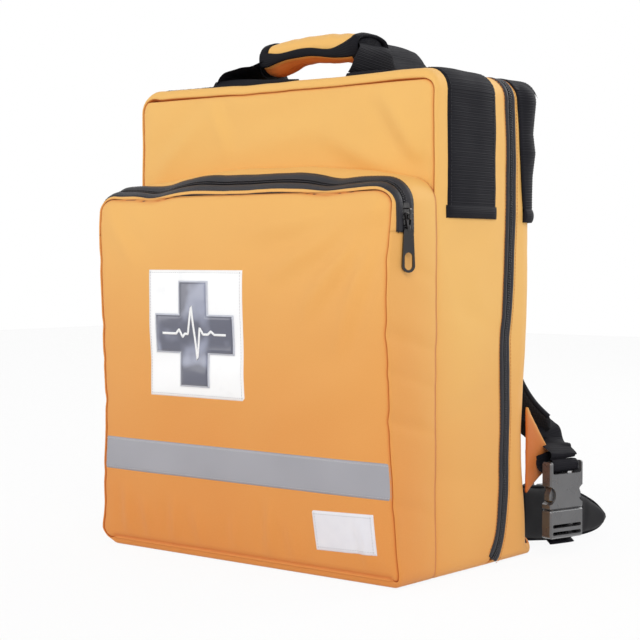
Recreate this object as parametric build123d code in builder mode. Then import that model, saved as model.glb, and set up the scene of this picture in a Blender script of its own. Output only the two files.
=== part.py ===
from build123d import *
import os
from math import asin, cos, radians, sin, sqrt

# Trauma backpack: a clamshell bag with a front pocket, carrying handles, shoulder straps and a hip belt.
# Frame: X to the right, Y to the back (the pocket faces -Y), Z up.
# The origin is the centre of the base's footprint, on the ground.

os.makedirs("parts", exist_ok=True)

# ---------------------------------------------------------------- driving dimensions (mm)
BAG_W = 360.0            # across both compartments
BAG_H = 450.0            # main compartment
MAIN_FRONT = -53.0       # y of the main compartment's front panel
MAIN_REAR = 117.0        # y of the panel that lies on the wearer's back
WALL = 5.0               # nylon, foam and lining of the main compartment
TOP_R = 20.0             # rounding along the top side edges
BOTTOM_R = 9.0           # rounding along the bottom side edges
REAR_R = 28.0            # rounding of the rear upright edges
FRONT_R = 6.0            # rounding of the front upright edges
BOARD_T = 3.0            # stiffening boards inside the panels

POCKET_H = 350.0
POCKET_WALL = 2.5
POCKET_BELLY = -127.4    # y of the pocket's front at its fullest
POCKET_BELLY_Z = 178.0
POCKET_FRONT_R = 1109.0  # the front bulges as part of a large cylinder
POCKET_TOP_R = 20.0

ZIP_Y = 65.0             # main zip's line on the sides and the top
ZIP_BEND_Z = 90.0        # below this height the zip curves forward
ZIP_BEND_R = 128.0
ZIP_TAPE = 8.0           # visible tape on each side of the zip's line
ZIP_GAP = 0.7            # half of the slit between the two rows of the chain
ZIP_START = 6.5          # the zip ends this far above the base
COIL_W = 2.4             # width of one row of the chain
COIL_PROUD = 0.9         # height of the chain above the fabric
COIL_DEPTH = 3.1         # reach of the chain below the fabric's face
TAPE_TOP = 0.8           # depth of the tape's outer face below the fabric
TAPE_BACK = 2.4          # depth of the tape's inner face

POCKET_ZIP_Y = -101.0    # pocket zip's line
POCKET_ZIP_FRONT = -112.0
POCKET_ZIP_REAR = -93.0
POCKET_ZIP_Z = 304.0     # the pocket zip reaches down to here on each side

WEB_T = 2.0              # thickness of the wide webbing
HEM_PROUD = 1.8          # a hem's thickness, in thicknesses of the webbing
HEM_OVERHANG = 2.0       # a hem is this much wider than its webbing on each side
WEB_W = 76.0
BAND_FRONT_Y = (-37.0, 39.0)
BAND_HEM_Z = 320.0
HEM_H = 11.0

HANDLE_FEET = (-100.0, 68.0)
REAR_HANDLE_FOOT = 98.0
GRIP_X = (-46.0, 66.0)
GRIP_Z = 485.0
GRIP_W = 48.0            # along Y
GRIP_H = 26.0
GRIP_RISE = 3.6

FAR = 200.0              # past every face of the bag
FIT = 0.3                # running gap between soft pieces on different bodies

SIDES = (("right", 1), ("left", -1))


def finish(piece, name):
    """Label a finished piece and write it."""
    piece.part.label = name
    export_step(piece.part, f"parts/{name}.step")


def finish_pair(piece, name):
    """Write the right-hand piece, and its mirror image as the left-hand one."""
    finish(piece, f"{name}_right")
    with BuildPart() as twin:
        mirror(piece.part, about=Plane.YZ)
    finish(twin, f"{name}_left")


# ---------------------------------------------------------------- forms that several pieces share
def main_block(inset):
    """The main compartment as one closed block, with its skin moved inwards by inset."""
    depth = MAIN_REAR - MAIN_FRONT - 2 * inset
    height = BAG_H - 2 * inset
    width = BAG_W - 2 * inset
    with BuildPart() as block:
        with BuildSketch(Plane.XZ.offset(-(MAIN_FRONT + inset))) as face:
            with Locations((0, BAG_H / 2)):
                Rectangle(width, height)
            fillet(face.vertices().group_by(Axis.Y)[-1], TOP_R - inset)
            fillet(face.vertices().group_by(Axis.Y)[0], BOTTOM_R - inset)
        extrude(amount=-depth)
        with BuildSketch(Plane.XY.offset(inset)) as plan:
            with Locations((0, (MAIN_FRONT + MAIN_REAR) / 2)):
                Rectangle(width, depth)
            fillet(plan.vertices().group_by(Axis.Y)[-1], REAR_R - inset)
            fillet(plan.vertices().group_by(Axis.Y)[0], FRONT_R - inset)
        extrude(amount=height, mode=Mode.INTERSECT)
    return block.part


def zip_bend(shift, height):
    """Middle and lower end of the zip line's curved stretch, moved by shift and ending at height."""
    radius = ZIP_BEND_R + shift
    centre = ZIP_Y - ZIP_BEND_R
    end = asin((ZIP_BEND_Z - height) / radius)
    return [
        (centre + radius * cos(angle), ZIP_BEND_Z - radius * sin(angle))
        for angle in (end / 2, end)
    ]


def beside_zip(shift, limit):
    """Side profile of all that lies between the zip line, moved by shift, and y = limit."""
    top = (ZIP_Y + shift, BAG_H + WALL)
    bend = (ZIP_Y + shift, ZIP_BEND_Z)
    middle, low = zip_bend(shift, -WALL)
    with BuildSketch(Plane.YZ) as region:
        with BuildLine():
            Line(top, bend)
            ThreePointArc(bend, middle, low)
            Polyline(low, (limit, -WALL), (limit, BAG_H + WALL), top)
        make_face()
    return region.sketch


def along_zip(near, far):
    """Side profile of the strip that follows the zip line, from near to far beside it."""
    top = BAG_H + WALL
    near_middle, near_low = zip_bend(near, ZIP_START)
    far_middle, far_low = zip_bend(far, ZIP_START)
    near_bend = (ZIP_Y + near, ZIP_BEND_Z)
    far_bend = (ZIP_Y + far, ZIP_BEND_Z)
    with BuildSketch(Plane.YZ) as strip:
        with BuildLine():
            Line((ZIP_Y + near, top), near_bend)
            ThreePointArc(near_bend, near_middle, near_low)
            Line(near_low, far_low)
            ThreePointArc(far_low, far_middle, far_bend)
            Polyline(far_bend, (ZIP_Y + far, top), (ZIP_Y + near, top))
        make_face()
    return strip.sketch


def pocket_block(inset):
    """The pocket as one closed block that reaches back to the main compartment's front panel."""
    rear = MAIN_FRONT + max(inset, 0)
    with BuildPart() as block:
        with BuildSketch(Plane.XZ.offset(-rear)) as face:
            with Locations((0, POCKET_H / 2)):
                Rectangle(BAG_W - 2 * inset, POCKET_H - 2 * inset)
            fillet(face.vertices().group_by(Axis.Y)[-1], POCKET_TOP_R - inset)
            fillet(face.vertices().group_by(Axis.Y)[0], BOTTOM_R - inset)
        extrude(amount=FAR)
        with BuildSketch(Plane.YZ):
            with Locations((POCKET_BELLY + POCKET_FRONT_R, POCKET_BELLY_Z)):
                Circle(POCKET_FRONT_R - inset)
        extrude(amount=FAR, both=True, mode=Mode.INTERSECT)
    return block.part


def box_region(x, y, z):
    """A box between pairs of coordinates, to keep or cut a region."""
    with BuildPart() as region:
        with BuildSketch(Plane.XY.offset(z[0])):
            with Locations(((x[0] + x[1]) / 2, (y[0] + y[1]) / 2)):
                Rectangle(x[1] - x[0], y[1] - y[0])
        extrude(amount=z[1] - z[0])
    return region.part


# The blocks that the skins are cut from are made once.
BODY = main_block(0)
BODY_INSIDE = main_block(WALL)
POCKET = pocket_block(0)
POCKET_INSIDE = pocket_block(POCKET_WALL)
WHOLE_X = (-FAR, FAR)


# ---------------------------------------------------------------- rear half and front half
def half_shell(limit, side):
    """One half of the clamshell: a tray whose rim is cut back for the zip's tape."""
    with BuildPart() as shell:
        add(BODY)
        add(BODY_INSIDE, mode=Mode.SUBTRACT)
        extrude(to_extrude=beside_zip(side * FIT, limit), amount=FAR, both=True, mode=Mode.INTERSECT)
        strip = along_zip(0, side * ZIP_TAPE)
        extrude(to_extrude=strip, amount=FAR, both=True, mode=Mode.SUBTRACT)
    return shell


def half_zip(side):
    """One half of the main zip: the tape in the rim's cut-back and the row of coil on its edge."""
    with BuildPart() as half:
        add(main_block(TAPE_TOP))
        add(main_block(TAPE_BACK), mode=Mode.SUBTRACT)
        tape = along_zip(side * ZIP_GAP, side * ZIP_TAPE)
        extrude(to_extrude=tape, amount=FAR, both=True, mode=Mode.INTERSECT)
    with BuildPart() as coil:
        add(main_block(-COIL_PROUD))
        add(main_block(COIL_DEPTH), mode=Mode.SUBTRACT)
        row = along_zip(side * ZIP_GAP, side * (ZIP_GAP + COIL_W))
        extrude(to_extrude=row, amount=FAR, both=True, mode=Mode.INTERSECT)
    with BuildPart() as joined:
        add(half.part)
        add(coil.part)
    return joined


rear_shell = half_shell(MAIN_REAR + WALL, 1)
finish(rear_shell, "rear_shell")
front_shell = half_shell(MAIN_FRONT - WALL, -1)
finish(front_shell, "front_shell")
finish(half_zip(1), "main_zip_rear")
finish(half_zip(-1), "main_zip_front")

# Stiffening boards lie inside the back panel and the front panel.
BOARD_MARGIN, BOARD_CORNER = 32.0, 12.0
for board_name, board_y, direction in (
    ("back_board", MAIN_REAR - WALL, 1),
    ("front_board", MAIN_FRONT + WALL, -1),
):
    with BuildPart() as board:
        with BuildSketch(Plane.XZ.offset(-board_y)):
            with Locations((0, BAG_H / 2)):
                RectangleRounded(BAG_W - 2 * BOARD_MARGIN, BAG_H - 2 * BOARD_MARGIN, BOARD_CORNER)
        extrude(amount=direction * BOARD_T)
    finish(board, board_name)


# ---------------------------------------------------------------- front pocket
MOUTH = box_region(WHOLE_X, (-FAR, POCKET_ZIP_REAR), (POCKET_ZIP_Z, BAG_H))

with BuildPart() as pocket_shell:
    add(POCKET)
    add(POCKET_INSIDE, mode=Mode.SUBTRACT)
    add(MOUTH, mode=Mode.SUBTRACT)
finish(pocket_shell, "pocket_shell")

with BuildPart() as pocket_flap:
    add(POCKET)
    add(POCKET_INSIDE, mode=Mode.SUBTRACT)
    add(
        box_region(WHOLE_X, (-FAR, POCKET_ZIP_FRONT), (POCKET_ZIP_Z + FIT, BAG_H)),
        mode=Mode.INTERSECT,
    )
finish(pocket_flap, "pocket_flap")

POCKET_TAPE_TOP = 0.5
POCKET_TAPE_BACK = 2.0


def pocket_zip(name, tape, coil):
    """One half of the pocket zip, over the top and down both sides; tape and coil are y ranges."""
    reach = (POCKET_ZIP_Z + FIT, BAG_H)
    with BuildPart() as half:
        add(pocket_block(POCKET_TAPE_TOP))
        add(pocket_block(POCKET_TAPE_BACK), mode=Mode.SUBTRACT)
        add(box_region(WHOLE_X, tape, reach), mode=Mode.INTERSECT)
    with BuildPart() as row:
        add(pocket_block(-COIL_PROUD))
        add(pocket_block(COIL_DEPTH), mode=Mode.SUBTRACT)
        add(box_region(WHOLE_X, coil, reach), mode=Mode.INTERSECT)
    with BuildPart() as joined:
        add(half.part)
        add(row.part)
    finish(joined, name)


front_edge = POCKET_ZIP_Y - ZIP_GAP
rear_edge = POCKET_ZIP_Y + ZIP_GAP
pocket_zip("pocket_zip_front", (POCKET_ZIP_FRONT, front_edge), (front_edge - COIL_W, front_edge))
pocket_zip("pocket_zip_rear", (rear_edge, POCKET_ZIP_REAR), (rear_edge, rear_edge + COIL_W))


def on_pocket(name, outline, low, high):
    """A flat piece sewn on the pocket's front, following its curve between two heights over it."""
    with BuildPart() as patch:
        add(pocket_block(-high))
        add(pocket_block(-low), mode=Mode.SUBTRACT)
        extrude(to_extrude=outline, amount=FAR, mode=Mode.INTERSECT)
    finish(patch, name)


FACE = Plane.XZ.offset(-POCKET_ZIP_REAR)
REFLECTIVE_Z, REFLECTIVE_H, REFLECTIVE_T = 94.0, 32.0, 0.8
BADGE_CENTRE, BADGE_SIZE, BADGE_T = (-42.0, 214.0), 119.0, 1.2
PATCH_CORNER, LABEL_CORNER = 4.0, 2.0
EMBLEM_SIZE, EMBLEM_ARM, EMBLEM_T = 96.0, 34.0, 0.6
LABEL_CENTRE, LABEL_SIZE, LABEL_TILT, LABEL_T = (125.0, 45.0), (68.0, 36.0), 2.0, 0.8

with BuildSketch(FACE) as reflective:
    with Locations((0, REFLECTIVE_Z)):
        Rectangle(BAG_W - 2, REFLECTIVE_H)
on_pocket("reflective_band", reflective.sketch, 0, REFLECTIVE_T)

with BuildSketch(FACE) as badge:
    with Locations(BADGE_CENTRE):
        RectangleRounded(BADGE_SIZE, BADGE_SIZE, PATCH_CORNER)
on_pocket("badge_patch", badge.sketch, 0, BADGE_T)

with BuildSketch(FACE) as emblem:
    with Locations(BADGE_CENTRE):
        RectangleRounded(EMBLEM_SIZE, EMBLEM_ARM, PATCH_CORNER)
        RectangleRounded(EMBLEM_ARM, EMBLEM_SIZE, PATCH_CORNER)
on_pocket("badge_emblem", emblem.sketch, BADGE_T, BADGE_T + EMBLEM_T)

with BuildSketch(FACE) as label:
    with Locations(Location(LABEL_CENTRE + (0,), (0, 0, LABEL_TILT))):
        RectangleRounded(*LABEL_SIZE, LABEL_CORNER)
on_pocket("label", label.sketch, 0, LABEL_T)


# ---------------------------------------------------------------- wide webbing sewn on the corners
BODY_WEBBED = main_block(-WEB_T)
BODY_HEMMED = main_block(-HEM_PROUD * WEB_T)

with BuildPart() as front_band:
    add(BODY_WEBBED)
    add(BODY, mode=Mode.SUBTRACT)
    add(
        box_region((HANDLE_FEET[1], FAR), BAND_FRONT_Y, (BAND_HEM_Z + HEM_H, BAG_H + WALL)),
        mode=Mode.INTERSECT,
    )
with BuildPart() as front_hem:
    add(BODY_HEMMED)
    add(BODY, mode=Mode.SUBTRACT)
    hem_y = (BAND_FRONT_Y[0] - HEM_OVERHANG, BAND_FRONT_Y[1] + HEM_OVERHANG)
    add(box_region((0, FAR), hem_y, (BAND_HEM_Z, BAND_HEM_Z + HEM_H)), mode=Mode.INTERSECT)
with BuildPart() as front_band_right:
    add(front_band.part)
    add(front_hem.part)
finish(front_band_right, "front_band_right")

with BuildPart() as front_band_left:
    mirror(front_band_right.part, about=Plane.YZ)
    add(box_region((HANDLE_FEET[0], FAR), BAND_FRONT_Y, (BAG_H - WALL, BAG_H + WALL)), mode=Mode.SUBTRACT)
finish(front_band_left, "front_band_left")

# The rear webbing leans back as it goes down, and wraps round the rear upright edge.
REAR_BAND_TOP_Y, REAR_BAND_HEM_Y, REAR_BAND_INNER_X = 75.0, 88.0, 130.0
REAR_BAND_BACK = MAIN_REAR + 2 * WEB_T


def rear_band_layer(skin, low, high, front_low, front_high):
    """A stretch of the rear webbing between two heights, with its front edge at two depths."""
    with BuildPart() as layer:
        add(skin)
        add(BODY, mode=Mode.SUBTRACT)
        with BuildSketch(Plane.YZ.offset(REAR_BAND_INNER_X)):
            with BuildLine():
                Polyline(
                    (front_low, low), (front_high, high), (REAR_BAND_BACK, high), (REAR_BAND_BACK, low),
                    close=True,
                )
            make_face()
        extrude(amount=FAR, mode=Mode.INTERSECT)
    return layer.part


with BuildPart() as rear_top:
    add(BODY_WEBBED)
    add(BODY, mode=Mode.SUBTRACT)
    top_y = (REAR_BAND_TOP_Y, MAIN_REAR - TOP_R / 4)
    top_x = (REAR_HANDLE_FOOT, REAR_BAND_INNER_X)
    add(box_region(top_x, top_y, (BAG_H - WALL, BAG_H + WALL)), mode=Mode.INTERSECT)
with BuildPart() as rear_band:
    hem_top = BAND_HEM_Z + HEM_H
    add(rear_band_layer(BODY_WEBBED, hem_top, BAG_H + WALL, REAR_BAND_HEM_Y, REAR_BAND_TOP_Y))
    add(rear_band_layer(BODY_HEMMED, BAND_HEM_Z, hem_top, REAR_BAND_HEM_Y, REAR_BAND_HEM_Y))
    add(rear_top.part)
finish_pair(rear_band, "rear_band")


# ---------------------------------------------------------------- carrying handles
WEBBED_TOP = BAG_H + WEB_T
GRIP_MID_Y = sum(BAND_FRONT_Y) / 2
GRIP_WALL = 3.0


def arch(height):
    """A shallow arch from end to end of the grip, at a height over the grip's middle."""
    with BuildLine(Plane.XZ.offset(-GRIP_MID_Y)) as line:
        middle = (GRIP_X[0] + GRIP_X[1]) / 2
        ThreePointArc(
            (GRIP_X[0], GRIP_Z + height - GRIP_RISE), (middle, GRIP_Z + height),
            (GRIP_X[1], GRIP_Z + height - GRIP_RISE),
        )
    return line.edges()[0]


def swept(path, width, thickness, radius, start=0.0, end=1.0):
    """A bar of rounded section along part of a path, its width along Y."""
    run = path.trim(start, end) if (start, end) != (0.0, 1.0) else path
    with BuildPart() as bar:
        with BuildSketch(Plane(origin=run @ 0, x_dir=(0, 1, 0), z_dir=run % 0)):
            RectangleRounded(width, thickness, radius)
        sweep(path=run)
    return bar.part


GRIP_LINE = arch(0)
INSIDE_W, INSIDE_H = GRIP_W - 2 * GRIP_WALL, GRIP_H - 2 * GRIP_WALL
WRAP_CORNER, INSIDE_CORNER, CORE_CORNER = 10.0, 5.0, 4.0
BINDING_T = 1.0
BINDING_SHARE = 0.07     # share of the grip's length that each end's binding takes

with BuildPart() as grip_webbing:
    add(swept(GRIP_LINE, INSIDE_W - 1, INSIDE_H - 1, CORE_CORNER))
finish(grip_webbing, "grip_webbing")

with BuildPart() as grip_wrap:
    add(swept(GRIP_LINE, GRIP_W, GRIP_H, WRAP_CORNER, BINDING_SHARE, 1 - BINDING_SHARE))
    add(swept(GRIP_LINE, INSIDE_W, INSIDE_H, INSIDE_CORNER), mode=Mode.SUBTRACT)
finish(grip_wrap, "grip_wrap")

bound_w, bound_h = GRIP_W + 2 * BINDING_T, GRIP_H + 2 * BINDING_T
with BuildPart() as grip_binding:
    for ends in ((0, BINDING_SHARE), (1 - BINDING_SHARE, 1)):
        add(swept(GRIP_LINE, bound_w, bound_h, WRAP_CORNER + BINDING_T, *ends))
    add(swept(GRIP_LINE, INSIDE_W, INSIDE_H, INSIDE_CORNER), mode=Mode.SUBTRACT)
finish(grip_binding, "grip_binding")


def leg(name, middle_y, stations):
    """A webbing leg from the bag's top to a handle's end; a station is its x, height and width."""
    with BuildPart() as strip:
        for x, height, width in stations:
            with BuildSketch(Plane.XY.offset(height)):
                with Locations((x, middle_y)):
                    Rectangle(WEB_T, width)
        loft(ruled=True)
    finish(strip, name)


HEAD_W = INSIDE_W - 1
ELBOW_W = WEB_W - 14
ELBOW_Z, HEAD_Z = 465.0, 481.0
END_LEAN = 3.8           # room for the grip's end faces, which lean with its arch
head_x = GRIP_X[1] + END_LEAN
foot_x = HANDLE_FEET[1] + WEB_T / 2
stations = ((foot_x, WEBBED_TOP, WEB_W), (head_x, ELBOW_Z, ELBOW_W), (head_x, HEAD_Z, HEAD_W))
leg("front_handle_leg_right", GRIP_MID_Y, stations)
head_x = GRIP_X[0] - END_LEAN
foot_x = HANDLE_FEET[0] - WEB_T / 2
elbow_x = (foot_x + head_x) / 2
stations = ((foot_x, WEBBED_TOP, WEB_W), (elbow_x, ELBOW_Z, ELBOW_W), (head_x, HEAD_Z, HEAD_W))
leg("front_handle_leg_left", GRIP_MID_Y, stations)

REAR_LOOP_Y = (REAR_BAND_TOP_Y + 1, MAIN_REAR - TOP_R / 4 - 1)
REAR_LOOP_W = REAR_LOOP_Y[1] - REAR_LOOP_Y[0]
REAR_LOOP_MID = sum(REAR_LOOP_Y) / 2
REAR_LOOP_TOP = 482.0
REAR_LOOP_X = 74.0
REAR_LOOP_R = 700.0
with BuildPart() as rear_handle:
    with BuildSketch(Plane.XZ.offset(-REAR_LOOP_Y[0])):
        with BuildLine():
            RadiusArc((-REAR_LOOP_X, REAR_LOOP_TOP), (REAR_LOOP_X, REAR_LOOP_TOP), REAR_LOOP_R)
            RadiusArc(
                (-REAR_LOOP_X, REAR_LOOP_TOP - WEB_T), (REAR_LOOP_X, REAR_LOOP_TOP - WEB_T),
                REAR_LOOP_R,
            )
            Line((-REAR_LOOP_X, REAR_LOOP_TOP), (-REAR_LOOP_X, REAR_LOOP_TOP - WEB_T))
            Line((REAR_LOOP_X, REAR_LOOP_TOP), (REAR_LOOP_X, REAR_LOOP_TOP - WEB_T))
        make_face()
    extrude(amount=-REAR_LOOP_W)
finish(rear_handle, "rear_handle")

for side, sign in SIDES:
    stations = (
        (sign * (REAR_HANDLE_FOOT + WEB_T / 2), WEBBED_TOP, REAR_LOOP_W),
        (sign * (REAR_LOOP_X + WEB_T / 2 + FIT), REAR_LOOP_TOP, REAR_LOOP_W),
    )
    leg(f"rear_handle_leg_{side}", REAR_LOOP_MID, stations)


# ---------------------------------------------------------------- zip sliders and their pulls
SLIDER_L, SLIDER_W, SLIDER_NECK = 19.0, 12.0, 8.0
SLIDER_PLATE, SLIDER_CORNER = 1.2, 1.5
SLIDER_CLEAR = 0.6
POST_W, POST_L = 0.9, 4.0
BRIDGE_W, BRIDGE_L, BRIDGE_H, BRIDGE_T = 3.0, 10.0, 4.2, 1.0
BRIDGE_CORNER = 2.0
BAR_R = 1.1
BAR_LEVEL = COIL_PROUD + SLIDER_CLEAR + SLIDER_PLATE + 2.1   # over the fabric's face
BAIL_L, BAIL_HALF = 13.0, 5.2
PULL_NECK, PULL_W, PULL_T, PULL_L = 9.0, 12.0, 2.0, 50.0
PULL_HOLE = (15.0, 7.6)
PULL_CORNER = 2.0
STEM_R, STEM_L = 1.9, 4.2
BAIL_SIDE = 3.2          # width of the bail's sides, measured across the pull
BAIL_FOOT = 3.4          # depth of the bail below its opening


def slider(at, name):
    """A zip slider. at is centred on the chain's face, with x across it and y towards its mouth."""
    upper = COIL_PROUD + SLIDER_CLEAR
    lower = COIL_DEPTH + SLIDER_CLEAR
    half, neck, end = SLIDER_W / 2, SLIDER_NECK / 2, SLIDER_L / 2
    with BuildPart() as body:
        for level in (upper, -lower - SLIDER_PLATE):
            with BuildSketch(at.offset(level)) as plate:
                Polygon(
                    (-neck, -end), (neck, -end), (half, 0), (half, end), (-half, end), (-half, 0),
                    align=None,
                )
                fillet(plate.vertices(), SLIDER_CORNER)
            extrude(amount=SLIDER_PLATE)
        # The wedge that parts the two rows joins the plates at the slider's mouth.
        with BuildSketch(at.offset(-lower)):
            with Locations((0, end - POST_L / 2)):
                Rectangle(POST_W, POST_L)
        extrude(amount=lower + upper)
        # The bridge that holds the pull is an arch along the slider.
        side = Plane(origin=at.from_local_coords((0, 0, upper)), x_dir=at.y_dir, z_dir=at.x_dir)
        base = SLIDER_PLATE / 2
        with BuildSketch(side) as bridge:
            with Locations((0, SLIDER_PLATE + BRIDGE_H / 2 + BRIDGE_T / 2)):
                Rectangle(BRIDGE_L, BRIDGE_H + BRIDGE_T)
            fillet(bridge.vertices().group_by(Axis.Y)[-1], BRIDGE_CORNER)
            with Locations((0, base + (BRIDGE_H + base) / 2)):
                Rectangle(BRIDGE_L - 2 * BRIDGE_T, BRIDGE_H + base, mode=Mode.SUBTRACT)
        extrude(amount=BRIDGE_W / 2, both=True)
    finish(body, name)


def pull(at, turn, name):
    """A zip pull that hangs along -y of at from a bar along its x; its tab is turned about y."""
    with BuildPart() as tab:
        with BuildSketch(at.offset(-PULL_T / 2)):
            Polygon(
                (-BAIL_HALF, 0), (BAIL_HALF, 0), (STEM_R, -BAIL_L), (-STEM_R, -BAIL_L), align=None
            )
            Polygon(
                (2 - BAIL_HALF, 1), (BAIL_HALF - 2, 1),
                (BAIL_HALF - BAIL_SIDE, BAIL_FOOT - BAIL_L),
                (BAIL_SIDE - BAIL_HALF, BAIL_FOOT - BAIL_L), align=None, mode=Mode.SUBTRACT,
            )
        extrude(amount=PULL_T)
        with BuildSketch(Plane(origin=at.origin, x_dir=at.y_dir, z_dir=at.x_dir)):
            Circle(BAR_R)
        extrude(amount=BAIL_HALF, both=True)
        stem_top = at.from_local_coords((0, BAIL_FOOT - 0.8 - BAIL_L, 0))
        with BuildSketch(Plane(origin=stem_top, x_dir=at.x_dir, z_dir=-at.y_dir)):
            Circle(STEM_R)
        extrude(amount=STEM_L)
        angle = radians(turn)
        flat = Plane(
            origin=at.origin,
            x_dir=at.x_dir * cos(angle) + at.z_dir * sin(angle),
            z_dir=at.z_dir * cos(angle) - at.x_dir * sin(angle),
        )
        with BuildSketch(flat.offset(-PULL_T / 2)) as plate:
            half, neck = PULL_W / 2, PULL_NECK / 2
            with BuildLine():
                Line((-neck, -BAIL_L), (-half, half - PULL_L))
                RadiusArc((-half, half - PULL_L), (half, half - PULL_L), -half)
                Line((half, half - PULL_L), (neck, -BAIL_L))
                Line((neck, -BAIL_L), (-neck, -BAIL_L))
            make_face()
            fillet(plate.vertices().group_by(Axis.Y)[-1], PULL_CORNER)
            with Locations((0, half - PULL_L + PULL_HOLE[0] / 2 - PULL_HOLE[1] / 2)):
                SlotOverall(*PULL_HOLE, rotation=90, mode=Mode.SUBTRACT)
        extrude(amount=PULL_T)
    finish(tab, name)


POCKET_SLIDER_Z = 322.0
PULL_TURN = 28.0         # the loose pull hangs turned this far towards the front
chain = Plane(origin=(BAG_W / 2, POCKET_ZIP_Y, POCKET_SLIDER_Z), x_dir=(0, -1, 0), z_dir=(1, 0, 0))
slider(chain, "pocket_slider")
bar = Plane(origin=chain.from_local_coords((0, 0, BAR_LEVEL)), x_dir=(0, 1, 0), z_dir=(1, 0, 0))
pull(bar, PULL_TURN, "pocket_pull")

# The two sliders of the main zip meet at the middle of the top, and each opens towards its own side.
MAIN_SLIDER_X = 14.0
for side, sign in SIDES:
    chain = Plane(origin=(sign * MAIN_SLIDER_X, ZIP_Y, BAG_H), x_dir=(0, sign, 0), z_dir=(0, 0, 1))
    slider(chain, f"main_slider_{side}")
    bar = Plane(
        origin=chain.from_local_coords((0, 0, BAR_LEVEL)), x_dir=(0, sign, 0), z_dir=(0, 0, 1)
    )
    pull(bar, 0, f"main_pull_{side}")


# ---------------------------------------------------------------- back panel
PAD_T = 11.0
PAD_Z = (72.0, 386.0)
PAD_W = 250.0
LUMBAR_W, LUMBAR_Z = 316.0, (5.0, 66.0)
PAD_CORNER, LUMBAR_CORNER = 30.0, 10.0
BACK_FACE = Plane.XZ.offset(-MAIN_REAR)


def back_cushion(name, width, heights, thickness, corner):
    """A flat cushion on the rear panel, with its outer edge rounded."""
    with BuildPart() as pad:
        with BuildSketch(BACK_FACE):
            with Locations((0, sum(heights) / 2)):
                RectangleRounded(width, heights[1] - heights[0], corner)
        extrude(amount=-thickness)
        fillet(pad.faces().sort_by(Axis.Y)[-1].edges(), thickness / 2.5)
    finish(pad, name)


back_cushion("back_pad", PAD_W, PAD_Z, PAD_T, PAD_CORNER)
back_cushion("lumbar_pad", LUMBAR_W, LUMBAR_Z, PAD_T, LUMBAR_CORNER)

YOKE_W, YOKE_H, YOKE_T, YOKE_Z = 210.0, 34.0, 3.7, 408.0
with BuildPart() as strap_yoke:
    with BuildSketch(BACK_FACE):
        with Locations((0, YOKE_Z)):
            RectangleRounded(YOKE_W, YOKE_H, PATCH_CORNER)
    extrude(amount=-YOKE_T)
finish(strap_yoke, "strap_yoke")

# Triangular tabs, sewn into the rear corners' seams, anchor the straps' lower ends.
TAB_X, TAB_T = 174.0, 2.5
TAB_APEX = (143.0, 90.0)
TAB_HALF = 6.0           # half of the tab's height at its blunt apex
TAB_SEAM = ((97.0, 60.0), (90.0, 60.0), (90.0, 142.0), (103.0, 142.0))
with BuildPart() as anchor_tab:
    with BuildSketch(Plane.YZ.offset(TAB_X)) as outline:
        tip = [(TAB_APEX[0], TAB_APEX[1] + TAB_HALF), (TAB_APEX[0], TAB_APEX[1] - TAB_HALF)]
        Polygon(*TAB_SEAM, *tip, align=None)
    extrude(amount=TAB_T)
    add(BODY, mode=Mode.SUBTRACT)
finish_pair(anchor_tab, "anchor_tab")


# ---------------------------------------------------------------- shoulder straps
# Middle of the strap's section, its width and its thickness, from the yoke down to the buckle.
STRAP_STATIONS = (
    ((56, 127.5, 406), 62, 10),
    ((66, 146, 362), 62, 13),
    ((84, 160, 285), 62, 14),
    ((98, 160, 215), 60, 14),
    ((122, 155, 158), 52, 13),
    ((166, 168, 108), 42, 11),
)
STRAP_ROUNDING = 0.45    # corner radius of the strap's section, as a share of its thickness


def strap_plane(index):
    """Section plane of the strap: square to its run, with its width as level as the run allows."""
    points = [Vector(*station[0]) for station in STRAP_STATIONS]
    before = points[max(index - 1, 0)]
    after = points[min(index + 1, len(points) - 1)]
    run = (after - before).normalized()
    across = (Vector(1, 0, 0) - run * run.X).normalized()
    return Plane(origin=points[index], x_dir=across, z_dir=run)


with BuildPart() as shoulder_strap:
    for index, (_, width, thickness) in enumerate(STRAP_STATIONS):
        with BuildSketch(strap_plane(index)):
            RectangleRounded(width, thickness, thickness * STRAP_ROUNDING)
    loft()
finish_pair(shoulder_strap, "shoulder_strap")


# ---------------------------------------------------------------- side-release buckles
# Each is drawn about its middle, with y running from the plug's foot to the housing's bar.
BUCKLE_W, BUCKLE_T, BUCKLE_CHAMFER = 44.0, 13.0, 1.4
BAR_TOP, MOUTH, FOOT = 38.0, -8.0, -36.0
CAVITY_HALF, CAVITY_T, CAVITY_END = 18.4, 8.0, 21.0
SCALLOP_OUT, SCALLOP_R, SCALLOP_LEVEL = 2.0, 9.0, 6.0
BELT_W, BELT_T = 33.0, 1.6
SLOT_L = 37.5
BAR_T = 6.0              # thickness of the bar that the webbing loops round
BAR_SLOT, BAR_LOW = 4.4, 28.6
PLUG_SLOTS, PLUG_SLOT_H = (-24.0, -31.0), 3.4
PLATE_CORNER, GUIDE_CORNER, LOOP_CORNER = 2.5, 2.0, 2.5
MOUTH_GAP = 0.4          # between the housing's mouth and the plug's shoulder
PIVOT = (15.6, -14.5)
PIVOT_R, PIVOT_FIT = 2.5, 0.08
ARM_T = 7.0
# One arm's outline from its root up its outer side to the catch, and back down its inner side.
ARM_OUTLINE = (
    (17.0, -14.5), (17.2, 0.8), (21.0, 1.4), (21.0, 6.5), (17.4, 14.0), (14.4, 14.0), (13.8, -14.5),
)
GUIDE_W, GUIDE_TOP = 5.0, 16.0


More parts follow.
